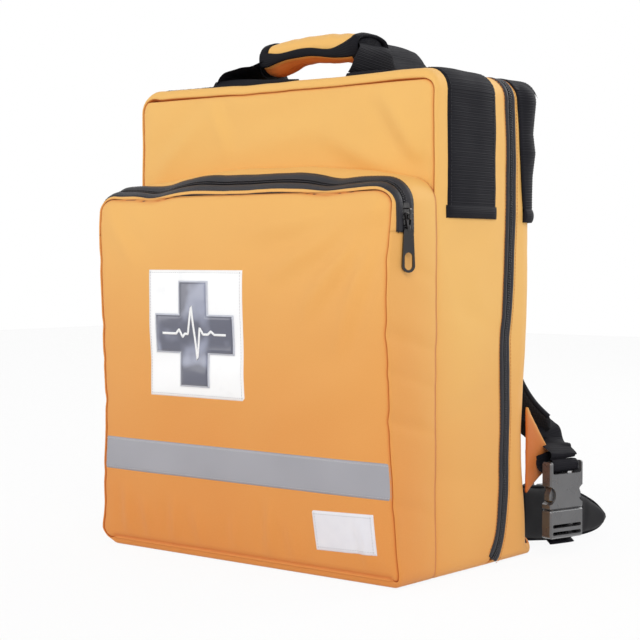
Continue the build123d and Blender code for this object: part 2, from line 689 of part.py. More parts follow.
def buckle_plate(at, low, high):
    """The rounded plate that both halves are cut from, between two levels of the buckle."""
    with BuildPart() as plate:
        with BuildSketch(at.offset(-BUCKLE_T / 2)) as outline:
            with Locations((0, (low + high) / 2)):
                Rectangle(BUCKLE_W, high - low)
            fillet(outline.vertices(), PLATE_CORNER)
        extrude(amount=BUCKLE_T)
        through = Axis(at.origin, at.z_dir)
        faces = plate.faces().filter_by(through).sort_by(through)
        chamfer(faces[0].edges() + faces[-1].edges(), BUCKLE_CHAMFER)
    return plate.part


def buckle_female(at, name):
    """The housing: a hollow body with scalloped sides, and a bar for the webbing at its top."""
    with BuildPart() as housing:
        add(buckle_plate(at, MOUTH, BAR_TOP))
        with BuildSketch(at.offset(-CAVITY_T / 2)):
            with Locations((0, (MOUTH - 1 + CAVITY_END) / 2)):
                Rectangle(2 * CAVITY_HALF, CAVITY_END - MOUTH + 1)
        extrude(amount=CAVITY_T, mode=Mode.SUBTRACT)
        with BuildSketch(at.offset(-BUCKLE_T)):
            for sign in (-1, 1):
                with Locations((sign * (BUCKLE_W / 2 + SCALLOP_OUT), SCALLOP_LEVEL)):
                    Circle(SCALLOP_R)
            with Locations((0, BAR_LOW)):
                SlotOverall(SLOT_L, BAR_SLOT)
        extrude(amount=2 * BUCKLE_T, mode=Mode.SUBTRACT)
        # The bar is thinner than the housing, so that the webbing lies flush round it.
        for level in (BAR_T / 2, -BUCKLE_T):
            with BuildSketch(at.offset(level)):
                with Locations((0, BAR_LOW + 10)):
                    Rectangle(SLOT_L, 20)
            extrude(amount=BUCKLE_T - BAR_T / 2, mode=Mode.SUBTRACT)
    finish(housing, name)


def buckle_male(at, name):
    """The plug: a base with two webbing slots, a centre guide and seats for the two spring arms."""
    shoulder = MOUTH - MOUTH_GAP
    with BuildPart() as plug:
        add(buckle_plate(at, FOOT, shoulder))
        with BuildSketch(at.offset(0.5 - CAVITY_T / 2)) as guide:
            with Locations((0, (GUIDE_TOP + shoulder - 4) / 2)):
                Rectangle(GUIDE_W, GUIDE_TOP - shoulder + 4)
            fillet(guide.vertices().group_by(Axis.Y)[-1], GUIDE_CORNER)
        extrude(amount=CAVITY_T - 1)
        with BuildSketch(at.offset(-BUCKLE_T)):
            for level in PLUG_SLOTS:
                with Locations((0, level)):
                    SlotOverall(SLOT_L, PLUG_SLOT_H)
        extrude(amount=2 * BUCKLE_T, mode=Mode.SUBTRACT)
        with BuildSketch(at.offset(-ARM_T / 2 - 0.2)):
            for sign in (-1, 1):
                with Locations((sign * PIVOT[0], PIVOT[1])):
                    Circle(PIVOT_R + PIVOT_FIT)
                with Locations((sign * (PIVOT[0] - 1.3), PIVOT[1] + 5)):
                    Rectangle(7.6, 10)
        extrude(amount=ARM_T + 0.4, mode=Mode.SUBTRACT)
    finish(plug, name)


def buckle_arms(at, name):
    """The plug's two spring arms: each turns on the round root that seats in the base."""
    for suffix, sign in (("a", 1), ("b", -1)):
        with BuildPart() as arm:
            with BuildSketch(at.offset(-ARM_T / 2)):
                with Locations((sign * PIVOT[0], PIVOT[1])):
                    Circle(PIVOT_R)
                Polygon(*((sign * x, y) for x, y in ARM_OUTLINE), align=None)
            extrude(amount=ARM_T)
        finish(arm, f"{name}_arm_{suffix}")


def bar_loop(at):
    """A turn of webbing round the housing's bar."""
    low, high = BAR_LOW + BAR_SLOT / 2, BAR_TOP
    with BuildPart() as loop:
        across = Plane(
            origin=at.from_local_coords((-BELT_W / 2, (low + high) / 2, 0)),
            x_dir=at.y_dir, z_dir=at.x_dir,
        )
        with BuildSketch(across):
            RectangleRounded(high - low + 0.2 + 2 * BELT_T, BAR_T + 0.2 + 2 * BELT_T, LOOP_CORNER)
            Rectangle(high - low + 0.2, BAR_T + 0.2, mode=Mode.SUBTRACT)
        extrude(amount=BELT_W)
    return loop.part


def strip_between(planes):
    """A strip of belt webbing lofted through its section planes, its width along each plane's x."""
    with BuildPart() as strip:
        for at in planes:
            with BuildSketch(at):
                Rectangle(BELT_W, BELT_T)
        loft(ruled=True)
    return strip.part


# ---------------------------------------------------------------- buckles of the shoulder straps
STRAP_BUCKLE = (192.0, 144.0, 50.0)
BUCKLE_TURN = radians(15)      # the buckle's face is turned this far from the side to the front
LOOP_TOP = BAR_TOP + BELT_T + 0.1
# The webbing's upper end, from the middle of the strap's last section, and its direction there.
TAIL_INTO, TAIL_RUN = (9.0, -10.0), (-0.6, 0.2, 0.8)

for side, sign in SIDES:
    facing = Vector(sign * cos(BUCKLE_TURN), -sin(BUCKLE_TURN), 0)
    across = Vector(sin(BUCKLE_TURN), sign * cos(BUCKLE_TURN), 0)
    place = Plane(
        origin=(sign * STRAP_BUCKLE[0], *STRAP_BUCKLE[1:]), x_dir=across, z_dir=facing
    )
    buckle_female(place, f"strap_buckle_female_{side}")
    buckle_male(place, f"strap_buckle_male_{side}")
    buckle_arms(place, f"strap_buckle_{side}")

    # Webbing from the padded strap's end down to the loop round the housing's bar.
    end = Vector(*STRAP_STATIONS[-1][0])
    end = Vector(sign * end.X, end.Y, end.Z)
    above = place.from_local_coords((0, LOOP_TOP, 0))
    inside_strap = end + Vector(sign * TAIL_INTO[0], 0, TAIL_INTO[1])
    with BuildPart() as upper:
        add(bar_loop(place))
        add(
            strip_between((
                Plane(origin=above, x_dir=across, z_dir=(0, 0, 1)),
                Plane(origin=inside_strap, x_dir=across, z_dir=(sign * TAIL_RUN[0], *TAIL_RUN[1:])),
            ))
        )
    finish(upper, f"strap_webbing_{side}")

    # Webbing from the plug's foot up behind the buckle to the anchor tab.
    behind = -BUCKLE_T / 2 - BELT_T
    foot = place.from_local_coords((0, FOOT - 1, behind))
    back = place.from_local_coords((0, CAVITY_END, behind))
    tab_x = TAB_X + TAB_T + BELT_T / 2 + 0.05
    tab_face = Vector(sign * tab_x, TAB_APEX[0] - BELT_W / 2, TAB_APEX[1])
    with BuildPart() as lower:
        add(
            strip_between((
                Plane(origin=foot, x_dir=across, z_dir=(0, 0, 1)),
                Plane(origin=back, x_dir=across, z_dir=(0, 0, 1)),
                Plane(origin=tab_face, x_dir=(0, sign, 0), z_dir=(0, 0, 1)),
            ))
        )
    finish(lower, f"anchor_webbing_{side}")


# ---------------------------------------------------------------- hip belt
WING_T = 12.0
WING_ROOT = (149.0, MAIN_REAR + PAD_T + WING_T / 2 + FIT)
WING_ROOT_Z = (8.0, 60.0)
WING_FLARE = radians(9)
BELT_Z = 24.0
BELT_START, BELT_TURN_AT, BELT_TURN_R = 40.0, 95.0, 15.0
BELT_REACH = 40.0
# The wing seen from its side: distance from its root, and height.
WING_UPPER = ((78, 49), (113, 34), (132, 17))
WING_LOWER = ((132, 17), (121, 6), (98, 3), (56, 2.5))

along = Vector(sin(WING_FLARE), cos(WING_FLARE), 0)
inward = Vector(-cos(WING_FLARE), sin(WING_FLARE), 0)
root = Vector(*WING_ROOT, 0)

with BuildPart() as hip_wing:
    with BuildSketch(Plane(origin=root, x_dir=along, z_dir=-inward)):
        with BuildLine():
            Spline((0, WING_ROOT_Z[1]), *WING_UPPER)
            Spline(*WING_LOWER)
            Polyline(WING_LOWER[-1], (0, WING_ROOT_Z[0]), (0, WING_ROOT_Z[1]))
        make_face()
    extrude(amount=WING_T / 2, both=True)
    # The root is a round roll, which turns in the seam of the lumbar pad.
    with BuildSketch(Plane.XY.offset(WING_ROOT_Z[0])):
        with Locations(WING_ROOT):
            Circle(WING_T / 2)
    extrude(amount=WING_ROOT_Z[1] - WING_ROOT_Z[0])
finish_pair(hip_wing, "hip_wing")

# The belt's webbing is sewn along the wing's inner face and turns in behind its tip.
with BuildPart() as belt_right:
    low = root + Vector(0, 0, BELT_Z - BELT_W / 2)
    with BuildSketch(Plane(origin=low, x_dir=along, z_dir=(0, 0, 1))):
        near, far = WING_T / 2, WING_T / 2 + BELT_T
        outer, inner = BELT_TURN_R, BELT_TURN_R - BELT_T
        bend, level, lean = BELT_TURN_AT, near + outer, sqrt(0.5)
        with BuildLine():
            Line((BELT_START, near), (bend, near))
            ThreePointArc(
                (bend, near), (bend + outer * lean, level - outer * lean), (bend + outer, level)
            )
            Polyline(
                (bend + outer, level), (bend + outer, BELT_REACH), (bend + inner, BELT_REACH),
                (bend + inner, level),
            )
            ThreePointArc(
                (bend + inner, level), (bend + inner * lean, level - inner * lean), (bend, far)
            )
            Polyline((bend, far), (BELT_START, far), (BELT_START, near))
        make_face()
    extrude(amount=BELT_W)
finish(belt_right, "belt_webbing_right")

belt_end = root + along * (BELT_TURN_AT + BELT_TURN_R - BELT_T / 2) + Vector(0, 0, BELT_Z)
plug = Plane(origin=belt_end + inward * (BELT_REACH - FOOT), x_dir=(0, 0, 1), z_dir=-along)
buckle_male(plug, "belt_buckle_male")
buckle_arms(plug, "belt_buckle")

housing_middle = belt_end + inward * (BELT_REACH + LOOP_TOP)
housing = Plane(
    origin=(-housing_middle.X, housing_middle.Y, housing_middle.Z),
    x_dir=(0, 0, 1), z_dir=(along.X, -along.Y, 0),
)
buckle_female(housing, "belt_buckle_female")
with BuildPart() as belt_left:
    mirror(belt_right.part, about=Plane.YZ)
    add(bar_loop(housing))
finish(belt_left, "belt_webbing_left")
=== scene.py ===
import functools
import math

import bpy
import numpy as np
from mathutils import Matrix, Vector, noise


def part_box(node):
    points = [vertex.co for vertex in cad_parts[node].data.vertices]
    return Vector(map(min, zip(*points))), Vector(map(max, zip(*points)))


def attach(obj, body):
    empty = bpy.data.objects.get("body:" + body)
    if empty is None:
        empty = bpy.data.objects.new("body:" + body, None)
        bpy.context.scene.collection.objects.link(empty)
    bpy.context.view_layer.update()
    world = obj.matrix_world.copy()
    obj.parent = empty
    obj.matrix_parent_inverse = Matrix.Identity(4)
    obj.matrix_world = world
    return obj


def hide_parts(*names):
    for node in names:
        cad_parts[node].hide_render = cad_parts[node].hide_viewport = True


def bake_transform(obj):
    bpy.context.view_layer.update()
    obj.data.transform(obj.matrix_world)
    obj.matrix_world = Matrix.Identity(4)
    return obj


bl_info = {
    "name": "Trauma backpack looks",
    "version": (1, 0, 0),
    "blender": (4, 5, 0),
    "location": "View3D > Sidebar > Backpack",
    "description": "Dresses the packed trauma backpack in cloth, webbing, zips, stitching and padding",
    "category": "Object",
}

# All sizes are in metres. The bag faces -Y, +X is to its right and +Z is up.
mm = 0.001
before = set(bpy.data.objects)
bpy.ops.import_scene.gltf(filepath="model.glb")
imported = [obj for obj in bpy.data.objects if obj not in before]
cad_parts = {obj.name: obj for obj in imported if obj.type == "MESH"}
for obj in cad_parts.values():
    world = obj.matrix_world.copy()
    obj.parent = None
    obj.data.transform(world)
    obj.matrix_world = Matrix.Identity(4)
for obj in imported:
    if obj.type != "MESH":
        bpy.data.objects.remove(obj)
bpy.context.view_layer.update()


def low(node):
    """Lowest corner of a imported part."""
    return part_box(node)[0]


def high(node):
    """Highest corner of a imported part."""
    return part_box(node)[1]


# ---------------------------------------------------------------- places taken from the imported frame
BAG_X = high("rear_shell").x
BAG_H = high("rear_shell").z
FRONT_Y = low("front_shell").y
REAR_Y = high("rear_shell").y
WALL = low("front_board").y - FRONT_Y
TOP_R, BASE_R, REAR_R = 20 * mm, 9 * mm, 28 * mm

ZIP_Y = high("main_zip_front").y + 0.7 * mm
ZIP_BEND_Z, ZIP_BEND_R = 90 * mm, 128 * mm
ZIP_END_Z = low("main_zip_front").z

POCKET_H = high("pocket_shell").z
POCKET_BELLY = low("pocket_shell").y
POCKET_BELLY_Z, POCKET_FRONT_R = 178 * mm, 1109 * mm
POCKET_ZIP_Z = low("pocket_zip_front").z
POCKET_ZIP_Y = high("pocket_zip_front").y + 0.7 * mm
POCKET_TAPE_REAR = high("pocket_zip_rear").y
POCKET_TAPE_FRONT = low("pocket_zip_front").y

# ---------------------------------------------------------------- what a user would change


class BackpackCloth(bpy.types.PropertyGroup):
    seam_depth: bpy.props.FloatProperty(
        name="Seam depth", description="How far the cloth dips into a sewn seam",
        default=2.6 * mm, min=0.0, unit="LENGTH",
    )
    fullness: bpy.props.FloatProperty(
        name="Fullness", description="How far a panel swells between its seams",
        default=3.5 * mm, min=0.0, unit="LENGTH",
    )
    rumple: bpy.props.FloatProperty(
        name="Rumple", description="Height of the soft unevenness of the cloth",
        default=1.7 * mm, min=0.0, unit="LENGTH",
    )
    nylon: bpy.props.FloatVectorProperty(
        name="Nylon", description="Colour of the coated nylon",
        default=(0.73, 0.27, 0.055), size=3, subtype="COLOR",
    )
    # Painted light: the lighter, yellower orange that the nylon is mixed towards higher up and towards the sides and
    # rear, with some random cloudy tone.
    nylon_lightened: bpy.props.FloatVectorProperty(
        name="Lightened nylon", description="Colour of the nylon where it has faded",
        default=(0.85, 0.485, 0.135), size=3, subtype="COLOR",
    )
    # Painted shade: the darker, redder nylon that the seam value mixes in, in seams, beside the zip's tape, where the
    # pocket meets the panel, under the grip's wrap and over the anchor tabs.
    nylon_seam_shade: bpy.props.FloatVectorProperty(
        name="Nylon in seams", description="Colour of the nylon down in its seams and folds",
        default=(0.60, 0.16, 0.03), size=3, subtype="COLOR",
    )


class BackpackTrim(bpy.types.PropertyGroup):
    tooth_pitch: bpy.props.FloatProperty(
        name="Tooth pitch", description="Distance between two teeth of one row of a zip",
        default=2.2 * mm, min=0.5 * mm, unit="LENGTH",
    )
    rib_pitch: bpy.props.FloatProperty(
        name="Rib pitch", description="Distance between the crosswise ribs of the wide webbing",
        default=2.5 * mm, min=0.5 * mm, unit="LENGTH",
    )
    stitch_pitch: bpy.props.FloatProperty(
        name="Stitch pitch", description="Distance from one stitch to the next",
        default=3.4 * mm, min=1 * mm, unit="LENGTH",
    )
    webbing: bpy.props.FloatVectorProperty(
        name="Webbing", description="Colour of the webbing, the tapes and the padding's mesh",
        default=(0.007, 0.007, 0.010), size=3, subtype="COLOR",
    )
    reflective: bpy.props.FloatVectorProperty(
        name="Reflective tape", description="Colour of the silver band by day",
        default=(0.30, 0.30, 0.33), size=3, subtype="COLOR",
    )


class BackpackLight(bpy.types.PropertyGroup):
    world: bpy.props.FloatProperty(
        name="World", description="Strength of the even light from all around", default=0.62, min=0.0,
    )
    key: bpy.props.FloatProperty(
        name="Key lamp", description="Power of the large lamp at the upper right",
        default=26.0, min=0.0, unit="POWER",
    )
    fill: bpy.props.FloatProperty(
        name="Fill lamp", description="Power of the large lamp at the left",
        default=15.5, min=0.0, unit="POWER",
    )
    back: bpy.props.FloatProperty(
        name="Back lamp", description="Power of the lamp behind the bag",
        default=18.0, min=0.0, unit="POWER",
    )
    floor_glow: bpy.props.FloatProperty(
        name="Floor glow", description="How far the floor shows white to the camera",
        default=0.92, min=0.0, max=1.0, subtype="FACTOR",
    )


def cloth():
    return bpy.context.scene.backpack_cloth


def trim():
    return bpy.context.scene.backpack_trim


# ---------------------------------------------------------------- shader expressions


class Value:
    """A socket that sums are written on; each sum adds its Math node."""

    def __init__(self, tree, socket):
        self.tree, self.socket = tree, socket

    def math(self, operation, *others):
        node = self.tree.nodes.new("ShaderNodeMath")
        node.operation = operation
        for slot, value in zip(node.inputs, (self, *others)):
            put(self.tree, slot, value)
        return Value(self.tree, node.outputs[0])

    def __add__(self, other):
        return self.math("ADD", other)

    def __sub__(self, other):
        return self.math("SUBTRACT", other)

    def __rsub__(self, other):
        return (self * -1.0).math("ADD", other)

    def __mul__(self, other):
        return self.math("MULTIPLY", other)

    def __truediv__(self, other):
        return self.math("DIVIDE", other)

    __radd__, __rmul__ = __add__, __mul__


def put(tree, slot, value):
    """Link a Value to an input, or set the input to a plain number or colour."""
    if isinstance(value, Value):
        tree.links.new(value.socket, slot)
    elif hasattr(value, "__len__") and len(value) == 3 and slot.type == "RGBA":
        slot.default_value = (*value, 1.0)
    else:
        slot.default_value = value


class Finish:
    """A material under construction, with one method that adds any node."""

    def __init__(self, name):
        self.material = bpy.data.materials.new(name)
        self.material.use_nodes = True
        self.tree = self.material.node_tree
        self.shader = self.tree.nodes["Principled BSDF"]

    def node(self, kind, settings=None, output=0, **inputs):
        made = self.tree.nodes.new(kind)
        for key, value in (settings or {}).items():
            setattr(made, key, value)
        for key, value in inputs.items():
            name = key.replace("_", " ")
            slots = [slot for slot in made.inputs if slot.name == name and slot.enabled]
            put(self.tree, slots[0], value)
        return Value(self.tree, made.outputs[output])

    def place(self, uv=None):
        """Where a pattern is read: the sheet's own map, or the object's own coordinates."""
        if uv:
            return self.node("ShaderNodeUVMap", {"uv_map": uv})
        return self.node("ShaderNodeTexCoord", output=3)

    def axis(self, place, index):
        parts = self.node("ShaderNodeSeparateXYZ", output=index, Vector=place)
        return parts

    def noise(self, place, scale, detail=3.0, rough=0.5):
        return self.node(
            "ShaderNodeTexNoise", Vector=place, Scale=scale, Detail=detail, Roughness=rough
        )

    def mix(self, share, first, second):
        mixed = self.tree.nodes.new("ShaderNodeMix")
        mixed.data_type = "RGBA"
        put(self.tree, mixed.inputs[0], share)
        put(self.tree, mixed.inputs[6], first)
        put(self.tree, mixed.inputs[7], second)
        return Value(self.tree, mixed.outputs[2])

    def spread(self, value, start, end):
        """0 at start and 1 at end, held between them."""
        return self.node(
            "ShaderNodeMapRange", {"interpolation_type": "SMOOTHSTEP"},
            Value=value, **{"From_Min": start, "From_Max": end},
        )

    def bump(self, height, strength, distance):
        return self.node(
            "ShaderNodeBump", Height=height, Strength=strength, Distance=distance
        )

    def set(self, **inputs):
        for key, value in inputs.items():
            put(self.tree, self.shader.inputs[key.replace("_", " ")], value)
        return self.material


FINISHES = {}


def finish(name):
    """Each finish is made once, when the first piece asks for it."""
    if name not in FINISHES:
        FINISHES[name] = MAKERS[name]()
    return FINISHES[name]


def weave(look, place, pitch):
    """Height of a plain weave: threads along and across take turns on top."""
    turn = 2 * math.pi / pitch
    along = (look.axis(place, 0) * turn).math("SINE")
    across = (look.axis(place, 1) * turn).math("SINE")
    return along * across


def make_nylon():
    look = Finish("orange_nylon")
    shape = cloth()
    uv, where = look.place("cloth"), look.place()
    # Painted light: the nylon turns lighter and yellower with height and from the front towards the sides and rear,
    # where more light falls; the cloudy noise adds random tone to it.
    height = look.spread(look.axis(where, 2), 0.0, 0.42)
    depth = look.spread(look.axis(where, 1), -0.115, 0.0)
    cloudy = look.noise(where, 6.0, 2.0)
    lightened = (height * 0.9 + depth * 0.5 + (cloudy - 0.5) * 0.4).math("MAXIMUM", 0.0)
    body = look.mix(lightened.math("MINIMUM", 1.0), tuple(shape.nylon), tuple(shape.nylon_lightened))
    fine = look.noise(uv, 900.0, 2.0)
    body = look.mix((fine - 0.5) * 0.25 + 0.05, body, (0.92, 0.56, 0.20))
    # Painted shade: the seam value darkens the nylon down in its seams, beside the zip's tape, under the grip's wrap
    # and over the anchor tabs.
    sunk = look.node("ShaderNodeAttribute", {"attribute_name": "seam"}, output=2)
    colour = look.mix(sunk, body, tuple(shape.nylon_seam_shade))
    rough = fine * 0.12 + 0.52
    threads = weave(look, uv, 1.1 * mm)
    slubs = look.noise(uv, 260.0, 2.0)
    bumped = look.bump(threads * 0.5 + slubs, 0.22, 0.25 * mm)
    return look.set(
        Base_Color=colour, Roughness=rough, Normal=bumped, Sheen_Weight=0.03, Sheen_Roughness=0.5,
        Specular_IOR_Level=0.3,
    )


def make_lining():
    look = Finish("lining")
    where = look.place()
    tone = look.mix(look.noise(where, 60.0), (0.028, 0.028, 0.032), (0.05, 0.05, 0.056))
    bumped = look.bump(weave(look, look.place("cloth"), 1.0 * mm), 0.3, 0.2 * mm)
    return look.set(Base_Color=tone, Roughness=0.62, Normal=bumped)


def make_webbing():
    look = Finish("black_webbing")
    uv = look.place("cloth")
    # Painted highlight: the webbing is lighter on the crests of its ribs and over its hems; the dusty noise adds random
    # tone.
    dusty = look.noise(look.place(), 35.0, 3.0)
    rib_highlight = look.node("ShaderNodeAttribute", {"attribute_name": "rib"}, output=2)
    dark = tuple(trim().webbing)
    colour = look.mix(rib_highlight * 0.35 + dusty * 0.2, dark, (0.019, 0.018, 0.023))
    cross = (look.axis(uv, 0) * (2 * math.pi / (1.6 * mm))).math("SINE")
    bumped = look.bump(cross + look.noise(uv, 1500.0) * 0.8, 0.5, 0.2 * mm)
    return look.set(
        Base_Color=colour, Roughness=0.6, Normal=bumped, Specular_IOR_Level=0.09,
    )


def make_zip_tape():
    look = Finish("zip_tape")
    uv = look.place("cloth")
    lint = look.noise(look.place(), 90.0, 3.0)
    colour = look.mix(lint, (0.012, 0.012, 0.016), (0.022, 0.021, 0.027))
    bumped = look.bump(weave(look, uv, 0.9 * mm), 0.35, 0.15 * mm)
    return look.set(Base_Color=colour, Roughness=0.42, Normal=bumped, Specular_IOR_Level=0.3)


def make_coil():
    look = Finish("zip_coil")
    tone = look.mix(look.noise(look.place(), 300.0), (0.012, 0.012, 0.016), (0.03, 0.03, 0.037))
    return look.set(Base_Color=tone, Roughness=0.3, Specular_IOR_Level=0.4)


def make_enamel():
    look = Finish("zip_metal")
    where = look.place()
    rubbed = look.spread(look.noise(where, 240.0, 4.0), 0.56, 0.8)
    colour = look.mix(rubbed, (0.012, 0.010, 0.011), (0.06, 0.055, 0.056))
    bumped = look.bump(look.noise(where, 900.0, 2.0), 0.15, 0.1 * mm)
    return look.set(
        Base_Color=colour, Roughness=rubbed * 0.15 + 0.26, Normal=bumped, Coat_Weight=0.4,
        Coat_Roughness=0.15, Metallic=0.35,
    )


def make_acetal():
    look = Finish("buckle_black")
    where = look.place()
    haze = look.noise(where, 55.0, 3.0)
    colour = look.mix(haze, (0.05, 0.05, 0.054), (0.10, 0.10, 0.106))
    bumped = look.bump(look.noise(where, 1400.0, 2.0), 0.12, 0.08 * mm)
    return look.set(
        Base_Color=colour, Roughness=haze * 0.18 + 0.2, Normal=bumped, Specular_IOR_Level=0.8,
        Coat_Weight=0.5, Coat_Roughness=0.15,
    )


def make_reflective():
    look = Finish("reflective_tape")
    uv, where = look.place("cloth"), look.place()
    grey = tuple(trim().reflective)
    soft = look.noise(where, 14.0, 2.0)
    beads = look.noise(uv, 4000.0, 1.0)
    colour = look.mix(soft * 0.6 + beads * 0.15, grey, (0.42, 0.42, 0.46))
    grid = weave(look, uv, 1.2 * mm)
    bumped = look.bump(grid * 0.4 + beads, 0.12, 0.12 * mm)
    return look.set(Base_Color=colour, Roughness=soft * 0.1 + 0.38, Normal=bumped, Metallic=0.15)


def make_vinyl():
    look = Finish("badge_white")
    where = look.place()
    scuffs = look.spread(look.noise(where, 45.0, 4.0), 0.55, 0.85)
    colour = look.mix(scuffs, (0.94, 0.945, 0.95), (0.86, 0.87, 0.88))
    bumped = look.bump(look.noise(where, 30.0, 2.0), 0.1, 1.0 * mm)
    return look.set(Base_Color=colour, Roughness=scuffs * 0.2 + 0.3, Normal=bumped)


def make_slate():
    look = Finish("emblem_slate")
    where = look.place()
    cloudy = look.noise(where, 26.0, 2.0, 0.4)
    gleam = look.spread(cloudy, 0.52, 0.66)
    colour = look.mix(gleam, (0.10, 0.105, 0.15), (0.30, 0.32, 0.42))
    bumped = look.bump(look.noise(where, 22.0, 1.0), 0.4, 2.0 * mm)
    return look.set(
        Base_Color=colour, Roughness=0.16, Normal=bumped, Coat_Weight=0.6, Coat_Roughness=0.08
    )


def make_label():
    look = Finish("label_white")
    uv = look.place("cloth")
    threads = weave(look, uv, 0.6 * mm)
    colour = look.mix(look.noise(look.place(), 70.0), (0.74, 0.74, 0.80), (0.84, 0.84, 0.88))
    bumped = look.bump(threads, 0.3, 0.12 * mm)
    return look.set(Base_Color=colour, Roughness=0.45, Normal=bumped, Sheen_Weight=0.3)


def make_mesh():
    """Spacer mesh: small round holes in rows over dark foam."""
    look = Finish("black_mesh")
    uv = look.place("cloth")
    holes = weave(look, uv, 4.6 * mm)
    shade = look.spread(holes, -0.2, 0.55)
    lint = look.noise(look.place(), 80.0, 3.0)
    colour = look.mix(shade * 0.8, (0.017, 0.017, 0.02), (0.005, 0.005, 0.006))
    colour = look.mix(lint * 0.3, colour, (0.03, 0.03, 0.034))
    bumped = look.bump(shade * -1.0 + look.noise(uv, 1400.0) * 0.3, 0.6, 0.6 * mm)
    return look.set(Base_Color=colour, Roughness=0.8, Normal=bumped, Specular_IOR_Level=0.15)


def make_wing():
    look = Finish("wing_cloth")
    uv, where = look.place("cloth"), look.place()
    lint = look.noise(where, 60.0, 3.0)
    colour = look.mix(lint, (0.006, 0.006, 0.007), (0.014, 0.013, 0.016))
    bumped = look.bump(weave(look, uv, 1.0 * mm) * 0.6 + look.noise(uv, 500.0), 0.25, 0.25 * mm)
    return look.set(
        Base_Color=colour, Roughness=lint * 0.15 + 0.42, Normal=bumped, Specular_IOR_Level=0.16
    )


def make_thread(name, tone):
    look = Finish(name)
    shade = look.mix(look.noise(look.place(), 500.0), tone, tuple(0.8 * part for part in tone))
    return look.set(Base_Color=shade, Roughness=0.6, Specular_IOR_Level=0.25)


def make_board():
    look = Finish("board_grey")
    where = look.place()
    tone = look.mix(look.noise(where, 200.0), (0.16, 0.16, 0.17), (0.24, 0.24, 0.25))
    return look.set(Base_Color=tone, Roughness=0.85)


def make_emblem_edge():
    look = Finish("emblem_edge")
    tone = look.mix(look.noise(look.place(), 120.0), (0.50, 0.52, 0.60), (0.64, 0.66, 0.72))
    return look.set(Base_Color=tone, Roughness=0.35)


MAKERS = {
    "orange_nylon": make_nylon,
    "lining": make_lining,
    "black_webbing": make_webbing,
    "zip_tape": make_zip_tape,
    "zip_coil": make_coil,
    "zip_metal": make_enamel,
    "buckle_black": make_acetal,
    "reflective_tape": make_reflective,
    "badge_white": make_vinyl,
    "emblem_slate": make_slate,
    "emblem_edge": make_emblem_edge,
    "label_white": make_label,
    "black_mesh": make_mesh,
    "board_grey": make_board,
    "wing_cloth": make_wing,
    "pale_thread": lambda: make_thread("pale_thread", (0.62, 0.62, 0.64)),
    "orange_thread": lambda: make_thread("orange_thread", (0.62, 0.22, 0.05)),
    "black_thread": lambda: make_thread("black_thread", (0.03, 0.03, 0.035)),
}

# ---------------------------------------------------------------- sheets of cloth
SIDE_POINTS = 110        # points of an outline up one side
TOP_POINTS = 84          # and across the top
BASE_POINTS = 40         # and across half of the base
CORNER_POINTS = 9


def outline(half, base, top, low_r, high_r):
    """A rounded box seen from the front, as x and z, from the middle of its base towards +x."""
    corners = (
        (half - low_r, base + low_r, low_r, -90, SIDE_POINTS),
        (half - high_r, top - high_r, high_r, 0, TOP_POINTS),
        (high_r - half, top - high_r, high_r, 90, SIDE_POINTS),
        (low_r - half, base + low_r, low_r, 180, BASE_POINTS),
    )
    points = [np.array([[0.0, base]])]
    runs = (BASE_POINTS,) + tuple(corner[4] for corner in corners[:-1])
    for (x, z, radius, turn, _), count in zip(corners, runs):
        angles = np.radians(turn + np.linspace(0, 90, CORNER_POINTS))
        arc = np.stack([x + radius * np.cos(angles), z + radius * np.sin(angles)], 1)
        straight = np.linspace(points[-1][-1], arc[0], count + 1)[1:-1]
        points += [straight, arc]
    points.append(np.linspace(points[-1][-1], (0.0, base), BASE_POINTS + 1)[1:-1])
    return np.concatenate(points)


def zip_line(z):
    """y of the main zip's line at a height; it curves forward near the base."""
    drop = np.clip(ZIP_BEND_Z - z, 0, ZIP_BEND_Z)
    return ZIP_Y - ZIP_BEND_R + np.sqrt(ZIP_BEND_R**2 - drop**2)


def hump(at, middle, width):
    """A smooth bump of height 1."""
    return np.exp(-(((at - middle) / width) ** 2))


def zip_sway(x, z):
    """How far the main zip strays from its line, towards the back, along the sides and the top."""
    side = (
        4.0 * hump(z, 345 * mm, 50 * mm) - 4.6 * hump(z, 210 * mm, 38 * mm)
        + 2.6 * hump(z, 128 * mm, 32 * mm) + 4.0 * hump(z, 18 * mm, 22 * mm)
    )
    level = np.clip((z - BAG_H + TOP_R) / TOP_R, 0, 1)
    top = 1.6 * np.sin(x / (34 * mm)) * np.clip((np.abs(x) - 50 * mm) / (40 * mm), 0, 1)
    return (side * (1 - level) + top * level) * mm


def zip_offset(points, offset):
    """y and z of points of an outline moved square to the main zip's line."""
    z = points[:, 1]
    drop = np.clip(ZIP_BEND_Z - z, 0, ZIP_BEND_Z)
    angle = np.arcsin(drop / ZIP_BEND_R)
    shift = offset + zip_sway(points[:, 0], z)
    on_side = np.clip(z / (12 * mm), 0, 1)
    y = zip_line(z) + shift * np.cos(angle)
    return y, z - shift * np.sin(angle) * on_side


POCKET_SLACK = 8 * mm    # how far the empty pocket's lower front falls back
SLACK_TOP, SLACK_RUN = 290 * mm, 150 * mm


def ease(share):
    """A smooth step from 0 to 1 as the share goes from 0 to 1."""
    share = np.clip(share, 0, 1)
    return share * share * (3 - 2 * share)


def pocket_front(z):
    """y of the pocket's front at a height."""
    drop = np.asarray(z) - POCKET_BELLY_Z
    belly = POCKET_BELLY + POCKET_FRONT_R - np.sqrt(POCKET_FRONT_R**2 - drop**2)
    return belly + POCKET_SLACK * ease((SLACK_TOP - z) / SLACK_RUN)


